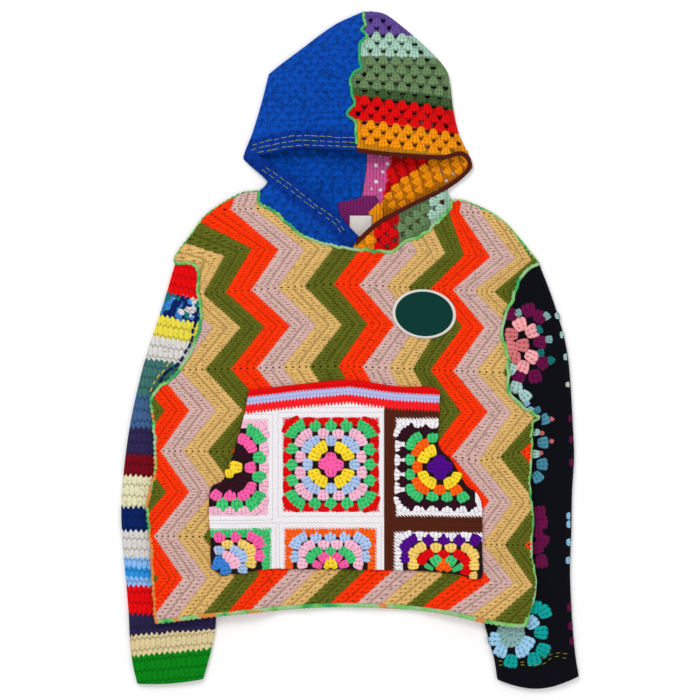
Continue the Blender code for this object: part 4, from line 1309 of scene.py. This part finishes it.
class Sleeves:
    """Left in cross stripes, right near-black with cluster motifs."""

    STRIPES = [  # millimetres below the top
        (0, Yarn.RED), (43, Yarn.NAVY), (80, Yarn.LEMON), (112, Yarn.GREY_WHITE), (147.5, Yarn.TEAL_GREEN),
        (202, Yarn.DENIM), (246.5, Yarn.DARK_VIOLET), (286, Yarn.MAROON), (318, Yarn.CREAM),
        (366, Yarn.NAVY), (401.5, Yarn.GREY_WHITE), (441, Yarn.LIGHT_BLUE), (456, Yarn.BRIGHT_BLUE),
        (471.5, Yarn.LIGHT_BLUE), (484, Yarn.RED), (525.5, Yarn.INDIGO), (551.5, Yarn.SAND),
        (580.5, Yarn.KELLY),
    ]
    CREASES_LEFT = (
        Crease((-300, -40), (-262, -90), 12, 0.9), Crease((-322, -150), (-262, -170), 12, 0.8),
        Crease((-335, -250), (-262, -262), 12, -0.7), Crease((-330, -400), (-250, -392), 14, 0.7),
    )
    CREASES_RIGHT = (
        Crease((305, -20), (262, -80), 12, 0.9), Crease((322, -130), (258, -160), 12, 0.8),
        Crease((330, -300), (240, -330), 14, 0.7), Crease((320, -400), (240, -420), 14, -0.6),
    )
    EDGE = 552  # photo pixel past which a fan is half round the folded edge
    FAN, SMALL_FAN, EDGE_FAN, EDGE_LONG = 23.5, 14.0, 13.0, 7.5
    # Photo pixels, the way that each fan points in degrees and, where not the usual, its size in millimetres
    MOTIFS = {
        Yarn.WINE: (
            (512, 315, 150), (529, 311, 100), (539, 317.5, 60), (539, 342, -10), (542, 362, -40),
            (535, 376, -80), (519, 376, -120), (539, 513, 100), (540, 522, 0), (536, 530, -100),
            (542, 541, 80), (538, 548, 180), (541, 560, -90), (569.5, 418, 0), (570.3, 439, 0),
            (570.5, 462, 0), (569, 607, 0), (570, 626, 0), (571, 641, 0),
        ),
        Yarn.BLUSH: ((520, 325, 120), (531, 332, 20), (531, 356, -30), (523, 366.5, -110)),
        Yarn.SALMON: (
            (512, 335, 180), (522, 345, 0), (514, 357, -100), (512, 347, 180), (551.5, 419, 60, 8),
            (541.7, 432.7, 180, 8), (551, 440.7, -30, 8), (540.8, 453, 180, 8),
        ),
        Yarn.GREY_WHITE: ((567.5, 385, 0, 10),),
        Yarn.TEAL: ((538, 330, 30), (540, 353, 0), (550, 360, -40)),
        Yarn.GREY_GREEN: (
            (518, 313.5, 120), (546, 316.5, 50), (548, 339.5, 0), (517.9, 632.8, 0, 21),
            (515.1, 626.9, 51, 21), (508.7, 625.5, 103, 21), (503.6, 629.5, 154, 21),
            (503.6, 636.1, 206, 21), (508.7, 640.1, 257, 21), (515.1, 638.7, 309, 21),
            (510.4, 632.8, 0, 16), (510.4, 632.8, 180, 16),
        ),
        Yarn.FROST: (
            (510, 369, -110), (516, 387, -100, 24), (524.5, 396, -50, 20), (536, 432, 180, 14),
            (536, 454, 180, 14), (556.5, 316.5, 20), (561, 335, 10), (565, 357, 0),
        ),
        Yarn.ICE: (
            (526, 403.5, -50, 11), (530, 409, -50, 11), (530.5, 622, 40), (526, 641.5, -30),
            (521, 650, -70), (501, 649, -110), (496, 638, 180), (568.2, 516, 0), (568.2, 524, 0),
            (567.8, 542, 0), (567.3, 560, 0),
        ),
        Yarn.STEEL: (
            (543, 420, 30, 20), (542, 442.5, 0, 20), (541, 464, 0, 20), (537, 476, -60, 20),
            (537, 411, 120, 13),
        ),
        Yarn.BRIGHT_TEAL: (
            (535, 607, 100), (543.5, 612, 30), (540, 632, 0), (542, 649, -20), (534, 658, -80),
            (511, 660, -100),
        ),
    }

    def __init__(self, dyer: Dyer) -> None:
        self.dyer = dyer
        self.left = Sleeve(
            "sleeve_left", "striped_sleeve", SLEEVE_LEFT, ARMHOLE_LEFT, 3.0, 1, self.CREASES_LEFT,
        )
        self.right = Sleeve(
            "sleeve_right", "granny_sleeve", SLEEVE_RIGHT, ARMHOLE_RIGHT, 15.8, -1, self.CREASES_RIGHT,
        )

    def motifs(self) -> Clusters:
        """The clusters of the right sleeve."""
        fans = Clusters(self.right.top, high=1.7, seed=9)
        for yarn, spots in self.MOTIFS.items():
            for column, row, way, *given in spots:
                edge, small = column > self.EDGE, yarn in (Yarn.TEAL, Yarn.GREY_GREEN)
                usual = self.EDGE_FAN if edge else self.SMALL_FAN if small else self.FAN
                wide = given[0] if given else usual
                long = self.EDGE_LONG if edge else wide
                fans.add(*from_photo((column, row)), math.radians(way), wide, long, yarn)
        return fans

    def build(self) -> None:
        """Both sleeves, and the motifs on the right one."""
        left = self.left.build(self.dyer.striped("striped_yarns", self.STRIPES, 123.0, 640.0))
        right = self.right.build(self.dyer.plain("ink_yarn", Yarn.INK, FUZZY, 5.6))
        motifs = self.motifs().build().object("sleeve_clusters", self.dyer.tinted("sleeve_yarns", FUZZY))
        trimmed(motifs)


class HoodHalf:
    """Four boundary curves of one half's layer; a grid between them is a Coons patch."""

    GAP = 0.25  # from the centre seam's line to the cloth on each side of it

    def __init__(self, neck, crown, side_curve, seam, sign: int) -> None:
        """Takes the curves in order; sign is 1 for the half at +X and -1 for the other."""
        self.neck, self.side_curve = spline(neck), spline(side_curve)
        self.gap = self.GAP * sign
        self.crown, self.seam = spline(crown)[::-1], along(spline(seam), np.linspace(0, 1, 40))
        self.seam = self.seam + (self.gap, 0)

    def grid(self, across: Array, up: Array) -> Array:
        """across runs from the centre seam to the folded side, up from the neck to the crown."""
        low, high = along(self.neck, across), along(self.crown, across)
        left, right = along(self.seam, up)[:, None], along(self.side_curve, up)[:, None]
        a, u = across[None, :, None], up[:, None, None]
        low[:, 0] += self.gap * (1 - across)
        high[:, 0] += self.gap * (1 - across)
        corners = (1 - a) * (1 - u) * self.seam[0] + a * (1 - u) * self.side_curve[0]
        corners = corners + (1 - a) * u * self.seam[-1] + a * u * self.side_curve[-1]
        return (1 - u) * low[None] + u * high[None] + (1 - a) * left + a * right - corners

    def outline(self) -> Array:
        """The layer's plan."""
        return np.vstack([self.seam, self.crown, self.side_curve[::-1], self.neck[::-1]])


class Hood:
    """Two-tone hood: a blue half round its fold, a granny-striped half, and the brown binding."""

    ROUND_LONG, CLUSTER_WIDE = 11.8, 18.75
    TOP, START = 507.0, 12  # y of the first round's edge, and x of the clusters' first column
    LEVEL, TURNING, SLOPE = 6, 5, 0.125  # rounds that lie level, rounds until all slope, and how far
    LIFT = 2.4  # of a cluster's middle over its round's
    ROUNDS = (
        [Yarn.PURPLE] * 3 + [Yarn.MINT] * 3 + [Yarn.SAGE] * 4 + [Yarn.DARK_SAGE] + [Yarn.RED] * 3
        + [Yarn.AMBER] * 5
    )
    WING = [Yarn.AMBER] * 3 + [Yarn.RED] * 3 + [Yarn.SAGE] * 4 + [Yarn.MINT] * 4
    WING_LEFT, WING_LOW = 3, 146
    HOLE, HOLE_AHEAD = (4.1, 2.9), 11.0  # half its width and height, and its way from a cluster's middle
    FRONT_PITCH, BACK_PITCH = 2.1, 2.0  # of the nets' grids
    SPARE = 6  # cloth left past the outline until it is cut
    BINDING_HALF, BINDING_THICK, CORNER = 4.0, 5.4, 8.0
    BINDING_STITCH = 4.4
    BLUE_WIDE = 142.0
    FOLD = (8.0, 5.0, 3.2, 2.2, 1.4, 0.8, 0.3, 0.0)  # columns beside the blue half's fold, from it
    FACING = (
        (-19, 221), (11, 226), (18, 231), (40, 231), (43, 221), (50, 206), (50, 193), (33.4, 176),
        (33.4, 202.4), (-1.4, 202.4), (-1.4, 170), (-8, 170),
    )
    INNER_LINE = ((44, 214), (54, 230), (74, 251), (103, 271), (128, 288))  # where red meets orange inside

    def __init__(self, terrain: Terrain, dyer: Dyer) -> None:
        self.terrain, self.dyer = terrain, dyer
        self.binding = self._binding_path()
        self.edging = self._edging_path()
        self.opening = self._opening(SEAM)
        self.front = HoodHalf(NECK_RIGHT, CROWN_RIGHT, HOOD_SIDE_RIGHT, HOOD_SEAM, 1)
        self.back = HoodHalf(BACK_NECK_RIGHT, CROWN_RIGHT, HOOD_SIDE_RIGHT, BACK_SEAM, 1)

    def _binding_path(self) -> Array:
        """Along the brim, round the corner on an arc, and down the front edge to the neck point."""
        brim, front = spline(BINDING_BRIM, 12), spline(BINDING_FRONT, 12)
        way_in, way_out = brim[-1] - brim[-2], front[1] - front[0]
        first, last = math.atan2(way_in[1], way_in[0]), math.atan2(way_out[1], way_out[0])
        angles = np.linspace(first + math.pi / 2, last + math.pi / 2, 16)[1:]
        centre = brim[-1] + self.CORNER * np.array([way_in[1], -way_in[0]]) / np.linalg.norm(way_in)
        arc = centre + self.CORNER * np.column_stack([np.cos(angles), np.sin(angles)])
        return np.vstack([brim, arc, front[1:]])

    def _edging_path(self) -> Array:
        """The binding's line as it shows: round the corner it lies on the hood's outline."""
        path = stepped(self.binding, 1.6)
        away = reach_of(path) - reach_of(path)[np.argmax(path[:, 0])]
        spread = np.where(away > 0, 62.0, 26.0)
        return path - (8.4 * np.exp(-((np.abs(away) / spread) ** 2.6)))[:, None] * normals(path)

    def _opening(self, grow: float) -> Array:
        """Plan of the face opening, grown on the granny side, where it reaches under the binding."""
        right = self.edging - (self.BINDING_HALF - 1.2 + grow) * normals(self.edging)
        left = spline(BRIM_LEFT[:-1] + FACE_LEFT[-1:])
        join = [[left[0, 0], right[0, 1]]]
        point = [[right[-1, 0] - 4, right[-1, 1] - 2]]
        return np.vstack([join, right, point, np.array(FACE_LEFT[:-1], float), left[::-1]])

    @staticmethod
    def rounded(high, low, away, half: float):
        """Both faces of a fold drawn together on a half circle within half of its edge."""
        drop = half * (1 - np.sqrt(1 - (1 - np.clip(away / half, 0, 1)) ** 2)) * 0.97
        return high - drop, low + drop

    def blue(self) -> Thing:
        """The blue half, one cloth round the fold, open at the centre and at the neck."""
        sides = [HoodHalf(neck, CROWN_LEFT, HOOD_SIDE_LEFT, seam, -1)
                 for neck, seam in ((NECK_LEFT, HOOD_SEAM), (BACK_NECK_LEFT, BACK_SEAM))]
        edge = 1 - np.array(self.FOLD) / self.BLUE_WIDE
        across = np.concatenate([np.linspace(0, edge[0], 46)[:-1], edge])
        up = np.linspace(0, 1, 110)
        front, back = (half.grid(across, up) for half in sides)
        away = (1 - across)[None] * self.BLUE_WIDE
        rise = self.terrain.hood_under(front[..., 0], front[..., 1])
        shellwork = 0.35 * uneven(front[..., 0], front[..., 1], 24, 21)
        top, foot = self.rounded(rise + WALL + shellwork * (away > 3), np.zeros(rise.shape), away, 3.1)
        inner_top, inner_foot = self.rounded(rise, np.full(rise.shape, WALL), away, 0.1)
        pulled = np.array([WALL, 0.0]) * ease(1 - away / self.FOLD[0])[..., None]
        brim = distance_to(front[..., 0], front[..., 1], spline(BRIM_LEFT))
        slant = distance_to(front[..., 0], front[..., 1], np.array(FACE_LEFT[1:], float))
        near = np.dstack([np.minimum(brim, slant), away + 0 * rise])
        far = np.dstack([np.full(rise.shape, 400.0), away + 0 * rise])  # the lower layer has no hem band
        outer = np.hstack([lay(front, top), lay(back, foot)[:, ::-1]])
        inner = np.hstack([lay(front + pulled, inner_top), lay(back + pulled, inner_foot)[:, ::-1]])
        wall = shell(outer, inner, np.hstack([near, far[:, ::-1]]))
        thing = wall.object("blue_cloth", self.dyer.shells("blue_yarn"))
        cut(thing, self.opening, "DIFFERENCE", bottom=WALL + SEAM / 2)
        return thing

    def slope(self, number):
        """How far a round runs down to the right; the first ones lie level."""
        return np.clip((number - self.LEVEL) / self.TURNING, 0, 1) * self.SLOPE

    def round_of(self, x, y):
        """Number of the granny round under a point, found by going back twice from its slope."""
        number = (self.TOP - y) / self.ROUND_LONG
        for _ in range(2):
            number = (self.TOP - y - self.slope(number) * (x - self.START)) / self.ROUND_LONG
        return number

    def yarn_at(self, x, y) -> Array:
        """Colour of the granny half at each point, for the rounds above the face and for the wing below."""
        upper = np.array([yarn.linear for yarn in self.ROUNDS])
        wing = np.array([yarn.linear for yarn in self.WING])
        number = np.clip(self.round_of(x, y).astype(int), 0, len(upper) - 1)
        strip = np.clip(((x - self.WING_LEFT) / self.ROUND_LONG).astype(int), 0, len(wing) - 1)
        return np.where(self.in_wing(x, y)[..., None], wing[strip], upper[number])

    @staticmethod
    def in_wing(x, y):
        """True below the lower edge of the face opening."""
        return (y < 272) & (y < 172 + 0.72 * (x - 9))

    def spots(self) -> Array:
        """Middle and way of each cluster: every other round is moved by half a cluster."""
        rows = []
        for number in range(len(self.ROUNDS)):
            slope = float(self.slope(number))
            for place in range(-1, 10):
                x = self.START + (place + 0.5 * (number % 2)) * self.CLUSTER_WIDE
                y = self.TOP - (number + 0.5) * self.ROUND_LONG - slope * (x - self.START) + self.LIFT
                if not self.in_wing(x, y):
                    rows.append((x, y, -90.0 - 4 * slope))
        for number in range(len(self.WING)):
            x = self.WING_LEFT + (number + 0.5) * self.ROUND_LONG - 1.5
            for place in range(9):
                y = self.WING_LOW + (place + 0.5 * (number % 2)) * self.CLUSTER_WIDE
                if self.in_wing(x, y):
                    rows.append((x, y, 180.0))
        return np.array(rows)

    def granny_net(self, spots: Array) -> Thing:
        """The granny half's upper layer: a net with a real hole past each cluster."""
        ahead = np.radians(spots[:, 2])
        holes = spots[:, :2] + self.HOLE_AHEAD * np.column_stack([np.cos(ahead), np.sin(ahead)])
        outline = self.front.outline()
        safe = (distance_to(*holes.T, closed(outline)) > 7) & inside(*holes.T, outline)
        safe &= distance_to(*holes.T, self.binding) > 10
        plan = mesh_plan(np.arange(-8, 194, self.FRONT_PITCH), np.arange(140, 516, self.FRONT_PITCH))
        x, y = plan[..., 0], plan[..., 1]
        mx, my = middles(plan)
        keep = covered(mx, my, outline, self.SPARE)
        for (hx, hy), turned in zip(holes[safe], np.abs(np.sin(ahead))[safe] < 0.5):
            across, up = self.HOLE[::-1] if turned else self.HOLE
            keep &= ((mx - hx) / across) ** 2 + ((my - hy) / up) ** 2 > 1
        rise = self.terrain.hood_under(x, y)
        away = distance_to(x, y, spline(HOOD_SIDE_RIGHT))
        top = rise + WALL - 0.5 - 1.2 * ease(1 - away / 5)
        # painted shade: the net's colours are darkened to 0.6 of their yarn between the clusters, rising to
        # 0.94 within 11 mm of its outline
        edging = ease(1 - distance_to(x, y, closed(outline)) / 11)
        dark = self.yarn_at(x, y) * (0.6 + 0.34 * edging)[..., None]
        yarns = self.dyer.tinted("granny_net")
        net = cloth("granny_cloth", plan, top, rise, yarns, uv=plan / 5.2, keep=keep, tint=dark)
        cut(net, outline, "INTERSECT")
        cut(net, self.opening, "DIFFERENCE", bottom=WALL + SEAM / 2)
        return dressed(net, "hood_right_front")

    def granny_clusters(self, spots: Array) -> Thing:
        """The clusters on the net, smaller at its edges."""
        ground = raised(self.terrain.hood_under, WALL - 0.6)
        fans = Clusters(ground, high=1.3, sink=1.0, foot=0.3, seed=17, straight=1.0)
        middle, outline = spots[:, :2].T, self.front.outline()
        near_edge = distance_to(*middle, closed(outline))
        good = inside(*middle, outline) & (near_edge > 3.6) & ~inside(*middle, self._opening(0.0))
        good &= distance_to(*middle, self.binding) > 9.5
        tints = self.yarn_at(spots[:, 0], spots[:, 1] - self.LIFT)
        share = np.clip(near_edge / 9.0, 0.5, 1)
        for (x, y, way), tint, size in zip(spots[good], tints[good], share[good]):
            fans.rows.append((x, y, math.radians(way), 19.2 * size, 18.0 * size, *tint))
        clusters = fans.build().object("granny_clusters", self.dyer.tinted("granny_yarns"))
        return trimmed(clusters)

    def lining_tint(self, x, y) -> Array:
        """Colours of the granny half's inside, seen through the face opening, as slanting bands."""
        tint = np.tile(Yarn.ROSE.linear, (*np.shape(x), 1))
        tint[x > 64 - (298 - y) * 0.21 + 1.5 * np.sin(y * 0.5)] = Yarn.RED.linear
        slant = np.interp(x, (47, 54, 74, 103, 122, 190), (217, 230, 251, 271, 284, 330))
        tint[(y < slant + 2.5 * np.sin(x * 0.42)) & (x > 44)] = Yarn.AMBER.linear
        # painted shade: the red and amber right of the slanting line, where the inner clusters lie, are
        # halved
        tint[(x > 66 - (298 - y) * 0.21) & (x > 44)] *= 0.5
        tint[(y < 226) & (x < 44)] = Yarn.PLUM.linear
        # painted shade: above y 301, under the upper layer, the inside takes 0.22 of the rounds' yarn colours
        return np.where((y > 301)[..., None], 0.22 * self.yarn_at(x, y), tint)

    def granny_back(self) -> Thing:
        """The granny half's lower layer, with holes in the part that shows and in the hidden part alike."""
        outline = self.back.outline()
        plan = mesh_plan(np.arange(-6, 194, self.BACK_PITCH), np.arange(200, 516, self.BACK_PITCH))
        x, y = plan[..., 0], plan[..., 1]
        mx, my = middles(plan)
        keep = covered(mx, my, outline, self.SPARE)
        clear = distance_to(mx, my, closed(outline)) > 9
        rng = np.random.default_rng(41)
        for row in range(24):
            for place in range(9):
                hx, hy = 32 + (place + 0.5 * (row % 2)) * 15.0, 218 + row * 12.15
                hx, hy = hx + rng.normal(0, 1.2), hy + rng.normal(0, 1.0)
                solid = hy < 288 and 60 - (298 - hy) * 0.2 < hx < 128
                if not solid:
                    keep &= (((mx - hx) / 3.3) ** 2 + ((my - hy) / 3.1) ** 2 > 1) | ~clear
        top, yarns = WALL - 0.3 + 0.3 * uneven(x, y, 14, 15), self.dyer.tinted("granny_inside")
        tint = self.lining_tint(x, y)
        net = cloth("granny_lining", plan, top, 0.0, yarns, uv=plan / 5.0, keep=keep, tint=tint)
        cut(net, outline, "INTERSECT")
        return dressed(net, "hood_right_back")

    def inner_clusters(self) -> Thing:
        """Clusters on the inside that shows: rows beside the slanting edge where red meets orange."""
        line = spline(self.INNER_LINE)
        fans = Clusters(even(WALL - 0.3), high=2.0, foot=0.34, seed=23, straight=0.8)
        for number, yarn in enumerate([Yarn.RED] * 2 + [Yarn.AMBER] * 4):
            row = line + (number - 1.6) * 12.0 * normals(line)
            for place in np.arange(4 + 8.5 * (number % 2), reach_of(row)[-1] + 60, 17.0):
                share = place / reach_of(row)[-1]
                x, y = row[0] + (row[-1] - row[0]) * share if share > 1 else along(row, share)
                free = distance_to(x, y, self.binding) > 2 and x > 66 - (298 - y) * 0.2
                if free and inside(x, y, self.opening) and 216 < y < 296:
                    fans.add(x, y, math.radians(128), 15.8, 16.0, yarn)
        return trimmed(fans.build().object("inner_clusters", self.dyer.tinted("inner_yarns")))

    def facing(self) -> Thing:
        """The plum strip inside the back of the neck, behind and beside the label."""
        plan = mesh_plan(np.linspace(-24, 52, 76), np.linspace(168, 234, 66))
        x, y = plan[..., 0], plan[..., 1]
        keep = inside(*middles(plan), np.array(self.FACING, dtype=float))
        amber = x > 28 + np.maximum(y - 206.5, 0)
        tint = np.where(amber[..., None], Yarn.AMBER.linear, Yarn.PLUM.linear)
        top, yarn = WALL + SEAM + 1.5 + 0.3 * uneven(x, y, 30, 6), self.dyer.tinted("plum_yarn")
        strip = cloth("plum_facing", plan, top, WALL + SEAM, yarn, uv=plan / 5.0, keep=keep, tint=tint)
        return trimmed(strip)

    def binding_edge(self) -> Thing:
        """The folded crochet strip along the granny edge, an oval section with slanting stitches."""
        path = self.edging
        level = self.terrain.hood_under(path[:, 0], path[:, 1]) + WALL / 2
        reach, turn = reach_of(path)[:, None], turns(14)
        stitch = 0.22 * np.sin(2 * math.pi * reach / self.BINDING_STITCH + 2 * turn)
        radius = self.BINDING_HALF - 0.6 + stitch + 0.2 * np.sin(reach / 17)
        edge = tube(lay(path, level), radius, len(turn), self.BINDING_THICK / (2 * self.BINDING_HALF))
        yarn = self.dyer.twisted("brown_yarn", Yarn.BROWN, self.BINDING_STITCH)
        return dressed(edge.object("brown_edge", yarn), "hood_binding")

    def build(self) -> None:
        """Both halves, with what is sewn to them."""
        blue = dressed(self.blue(), "hood_left")
        spots = self.spots()
        net, clusters, edge = self.granny_net(spots), self.granny_clusters(spots), self.binding_edge()
        lining, facing, inner = self.granny_back(), self.facing(), self.inner_clusters()


class Label:
    """The blank neck label inside the back."""

    def build(self) -> None:
        """The tape, on the back of the neck."""
        plan = mesh_plan(np.linspace(-0.5, 32.5, 24), np.linspace(170, 201.5, 24))
        under = WALL + SEAM
        top = under + 1.0 + 0.12 * uneven(plan[..., 0], plan[..., 1], 22, 4)
        graph = Graph("label_tape", WOVEN)
        x, y, _ = graph.place()
        weave = (x / 0.9).centred() * (y / 0.9).centred()
        tape_finish = graph.finished(graph.colour(Yarn.RIM), weave * 0.12, weave)
        tape = cloth("label_tape", plan, top, under, tape_finish)
        dressed(tape, "neck_label")


class Sewing:
    """Serged seams with a waved edge, and the loose running stitches."""

    STEP, STRAND, SIDES = 1.1, 3.4, 7  # along a seam, from ridge to ridge, and round it
    WAVE, LETTUCE = 1.25, 4.6  # lengths of the short and the long waves, over a whole turn
    CUFF_LINES = (  # photo pixels
        ((497, 660), (520, 662), (541, 658), (555, 652.5), (571.5, 653.5)),
        ((497, 664.5), (522, 665), (542, 663.5), (554, 656.5), (571.5, 658)),
    )
    WHIPPING = (  # beside the left armhole: its yarn, its line in photo pixels and half its width
        (
            "navy_whipping", Yarn.NAVY,
            ((198.5, 306), (195.5, 325), (190.5, 343), (185.5, 353), (180.5, 361), (172, 368), (165.5, 374),
             (160.5, 381), (157.5, 388)), 2.0,
        ),
        ("lemon_whipping", Yarn.LEMON, ((170, 362), (162.5, 372), (157, 379), (153, 387), (150, 395)), 1.3),
    )

    def __init__(self, terrain: Terrain, sleeves: Sleeves, hood: Hood, dyer: Dyer) -> None:
        self.terrain, self.sleeves, self.hood, self.dyer = terrain, sleeves, hood, dyer

    def ribs(self, x, y):
        """Top of the front's ribs."""
        return self.terrain.front_over(x, y) + RIB

    def neck(self, x, y):
        """Top of the front and of the hood where they meet."""
        return np.maximum(self.ribs(x, y), self.terrain.hood_over(x, y))

    def armhole(self, x, y):
        """Top of the front and of a sleeve where they meet."""
        return np.maximum(self.ribs(x, y), Terrain.SLEEVE_HIGH)

    def seam(self, curve, level, radius, wave, lettuce, squash, seed: int) -> Build:
        """One serged seam: a tube with slanting ridges that waves to each side of its line.

        level gives its middle height over a point, radius is half its width, wave and lettuce are how
        far its short and its long waves stray, and squash is its height over its width.
        """
        path = stepped(np.asarray(curve, dtype=float), self.STEP)
        reach = reach_of(path)
        phase = np.random.default_rng(seed).uniform(0, 6.28, 3)
        short = np.sin(reach / self.WAVE + 1.1 * np.sin(reach / 9 + phase[0]) + phase[1])
        long = np.sin(reach / self.LETTUCE + 1.8 * np.sin(reach / 17 + phase[2]))
        swell = 0.35 + 0.65 * np.sin(reach / 29 + phase[0]) ** 2
        stray = short * wave * (0.7 + 0.3 * np.sin(reach / 14 + phase[2])) + lettuce * swell * long
        stray *= ease(reach / 12) * ease((reach[-1] - reach) / 12)
        path = path + stray[:, None] * normals(path)
        ridge = 1 + 0.13 * np.sin(2 * math.pi * reach[:, None] / self.STRAND + turns(self.SIDES))
        high = level(path[:, 0], path[:, 1]) + 0.4 * np.cos(reach / self.WAVE)
        return tube(lay(path, high), radius * ridge * (1 + 0.12 * short[:, None]), self.SIDES, squash)

    def seams(self) -> Build:
        """All the serged seams and edges; a seam's place in the list is the seed of its waves."""
        terrain = self.terrain
        top, hem = spline(HOOD_SEAM), spline(HEM)
        neck, armhole = raised(self.neck, -0.3), raised(self.armhole, -0.2)
        side, shoulder = raised(terrain.back_under, 4.6), raised(self.ribs, -1.6)
        rows = (  # curve, height, half width, short waves, long waves, height over width
            (top[top[:, 1] > 300], raised(terrain.hood_over, 0.2), 2.3, 0.4, 1.3, 0.8),
            (spline(NECK_LEFT), neck, 2.5, 0.4, 1.3, 0.8),
            (spline(NECK_RIGHT), neck, 2.5, 0.4, 1.3, 0.8),
            (spline(ARMHOLE_LEFT), armhole, 2.5, 0.4, 1.1, 0.8),
            (spline(ARMHOLE_RIGHT), armhole, 2.6, 0.4, 1.3, 0.8),
            (spline(SIDE_LEFT), side, 2.9, 0.5, 0.8, 1.2),
            (spline(SIDE_RIGHT), side, 2.3, 0.5, 0.8, 1.4),
            (hem + (0, 2.2), raised(terrain.front_over, 0.9), 3.2, 0.4, 0.0, 0.62),
            (hem[4:-4], even(1.9), 1.7, 0.6, 0.0, 0.8),
            (spline(SHOULDER_LEFT), shoulder, 1.5, 0.4, 0.0, 0.8),
            (spline(SHOULDER_RIGHT), shoulder, 1.8, 0.6, 0.0, 0.8),
        )
        return Build.joined([self.seam(*row, seed) for seed, row in enumerate(rows, start=1)])

    @staticmethod
    def run(curve, ground, pitch: float, dash: float, rng, radius: float = 0.34) -> list[Build]:
        """Running stitches along a line on the ground, a function that gives the cloth's height.

        pitch runs from the start of one stitch to the next, dash is a stitch's length, radius is half
        the thread's thickness, and rng makes the stitches uneven.
        """
        total = reach_of(curve)[-1]
        builds = []
        for start in np.arange(2.0, total - dash, pitch):
            span = np.linspace(start, start + dash * rng.uniform(0.8, 1.2), 5) / total
            path = along(curve, span) + rng.normal(0, 0.5, 2)
            arch = 0.25 + 0.35 * np.sin(np.linspace(0, math.pi, 5))
            builds.append(tube(lay(path, ground(path[:, 0], path[:, 1]) + arch), radius, 5))
        return builds

    def dashes(self) -> Build:
        """Running stitches: rows on the blue hem band, beside the binding and at the cuff."""
        over, edging = self.terrain.hood_over, self.hood.edging
        brim, slant = spline(BRIM_LEFT), spline(FACE_LEFT[2:-1])
        edge = edging[: np.argmax(edging[:, 0]) - 8]
        lines = [(brim + away * normals(brim), over, 11.5, 8.5) for away in (4.0, 11.0, 18.0)]
        lines += [(slant - away * normals(slant), over, 13.0, 8.0) for away in (9.0, 15.0)]
        lines.append((edge - 5.5 * normals(edge), over, 9.0, 7.5))
        lines += [(spline(from_photo(line)), self.sleeves.right.top, 11.0, 5.0) for line in self.CUFF_LINES]
        rng = np.random.default_rng(31)
        return Build.joined([stitch for line in lines for stitch in self.run(*line, rng)])

    def build(self) -> None:
        """The seams, the running stitches and the whip stitches."""
        trimmed(self.seams().object("serged_seams", self.dyer.serged("serging")))
        thread = self.dyer.plain("thread", Yarn.THREAD, THREADY, 2.0)
        trimmed(self.dashes().object("running_stitches", thread))
        rng = np.random.default_rng(17)
        for name, yarn, line, radius in self.WHIPPING:
            curve, long = spline(from_photo(line)), 4.0 + 2.2 * radius
            stitches = Build.joined(self.run(curve, self.sleeves.left.top, 11.0, long, rng, radius))
            thread = self.dyer.plain(name + "_yarn", yarn, FUZZY, 2.6)
            trimmed(stitches.object(name, thread))


class Studio:
    """White ground, soft lights and the straight-down camera."""

    CAMERA_HIGH, LENS, SENSOR = 2.92, 100.0, 36.0  # metres, then millimetres
    LAMPS = (("key", (-1.1, 1.5, 2.3), 1.1, 34), ("fill", (1.6, -0.9, 2.2), 1.8, 14))
    FLOOR_HALF, FLOOR_LEVEL = 3000.0, -0.3
    GROUND, SKY_LIGHT = 0.93, 0.75

    def lamp(self, name: str, place: tuple, size: float, power: float) -> None:
        """One square lamp, in metres and watts, that shines at the garment's middle."""
        data = bpy.data.lights.new(name, "AREA")
        data.size, data.energy = size, power
        lamp = bpy.data.objects.new(name, data)
        lamp.location = place
        lamp.rotation_euler = (-Vector(place)).to_track_quat("-Z", "Y").to_euler()
        bpy.context.scene.collection.objects.link(lamp)

    def build(self) -> None:
        """The ground, the light and the camera."""
        scene = bpy.context.scene
        floor = self.FLOOR_HALF * np.array([[-1.0, -1.0], [1.0, -1.0], [1.0, 1.0], [-1.0, 1.0]])
        graph = Graph("ground_white", WOVEN)
        graph.shader.inputs["Base Color"].default_value = (*[self.GROUND] * 3, 1)
        table = Build(lay(floor, self.FLOOR_LEVEL), [np.arange(4)[None]]).object("ground", graph.material)
        world = bpy.data.worlds.new("studio")
        world.use_nodes = True
        sky = world.node_tree.nodes["Background"]
        sky.inputs["Color"].default_value = (1, 1, 1, 1)
        sky.inputs["Strength"].default_value = self.SKY_LIGHT
        scene.world = world
        for lamp in self.LAMPS:
            self.lamp(*lamp)
        camera = bpy.data.cameras.new("camera")
        camera.lens, camera.sensor_width = self.LENS, self.SENSOR
        camera.clip_end = 20
        eye = bpy.data.objects.new("camera", camera)
        eye.location = (0, 0, self.CAMERA_HIGH)
        scene.collection.objects.link(eye)
        scene.camera = eye
        scene.view_settings.view_transform = "Standard"


def main() -> None:
    """Builds the cloth, the sewing and the studio."""
    logging.basicConfig(level=logging.INFO, format="%(message)s")
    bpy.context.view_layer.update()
    terrain, dyer = Terrain(), Dyer()
    sleeves, hood = Sleeves(dyer), Hood(terrain, dyer)
    Panels(terrain, dyer).build()
    Pocket(terrain, dyer).build()
    ChestPatch(terrain).build()
    sleeves.build()
    hood.build()
    Label().build()
    Sewing(terrain, sleeves, hood, dyer).build()
    Studio().build()


if __name__ == "__main__":
    main()
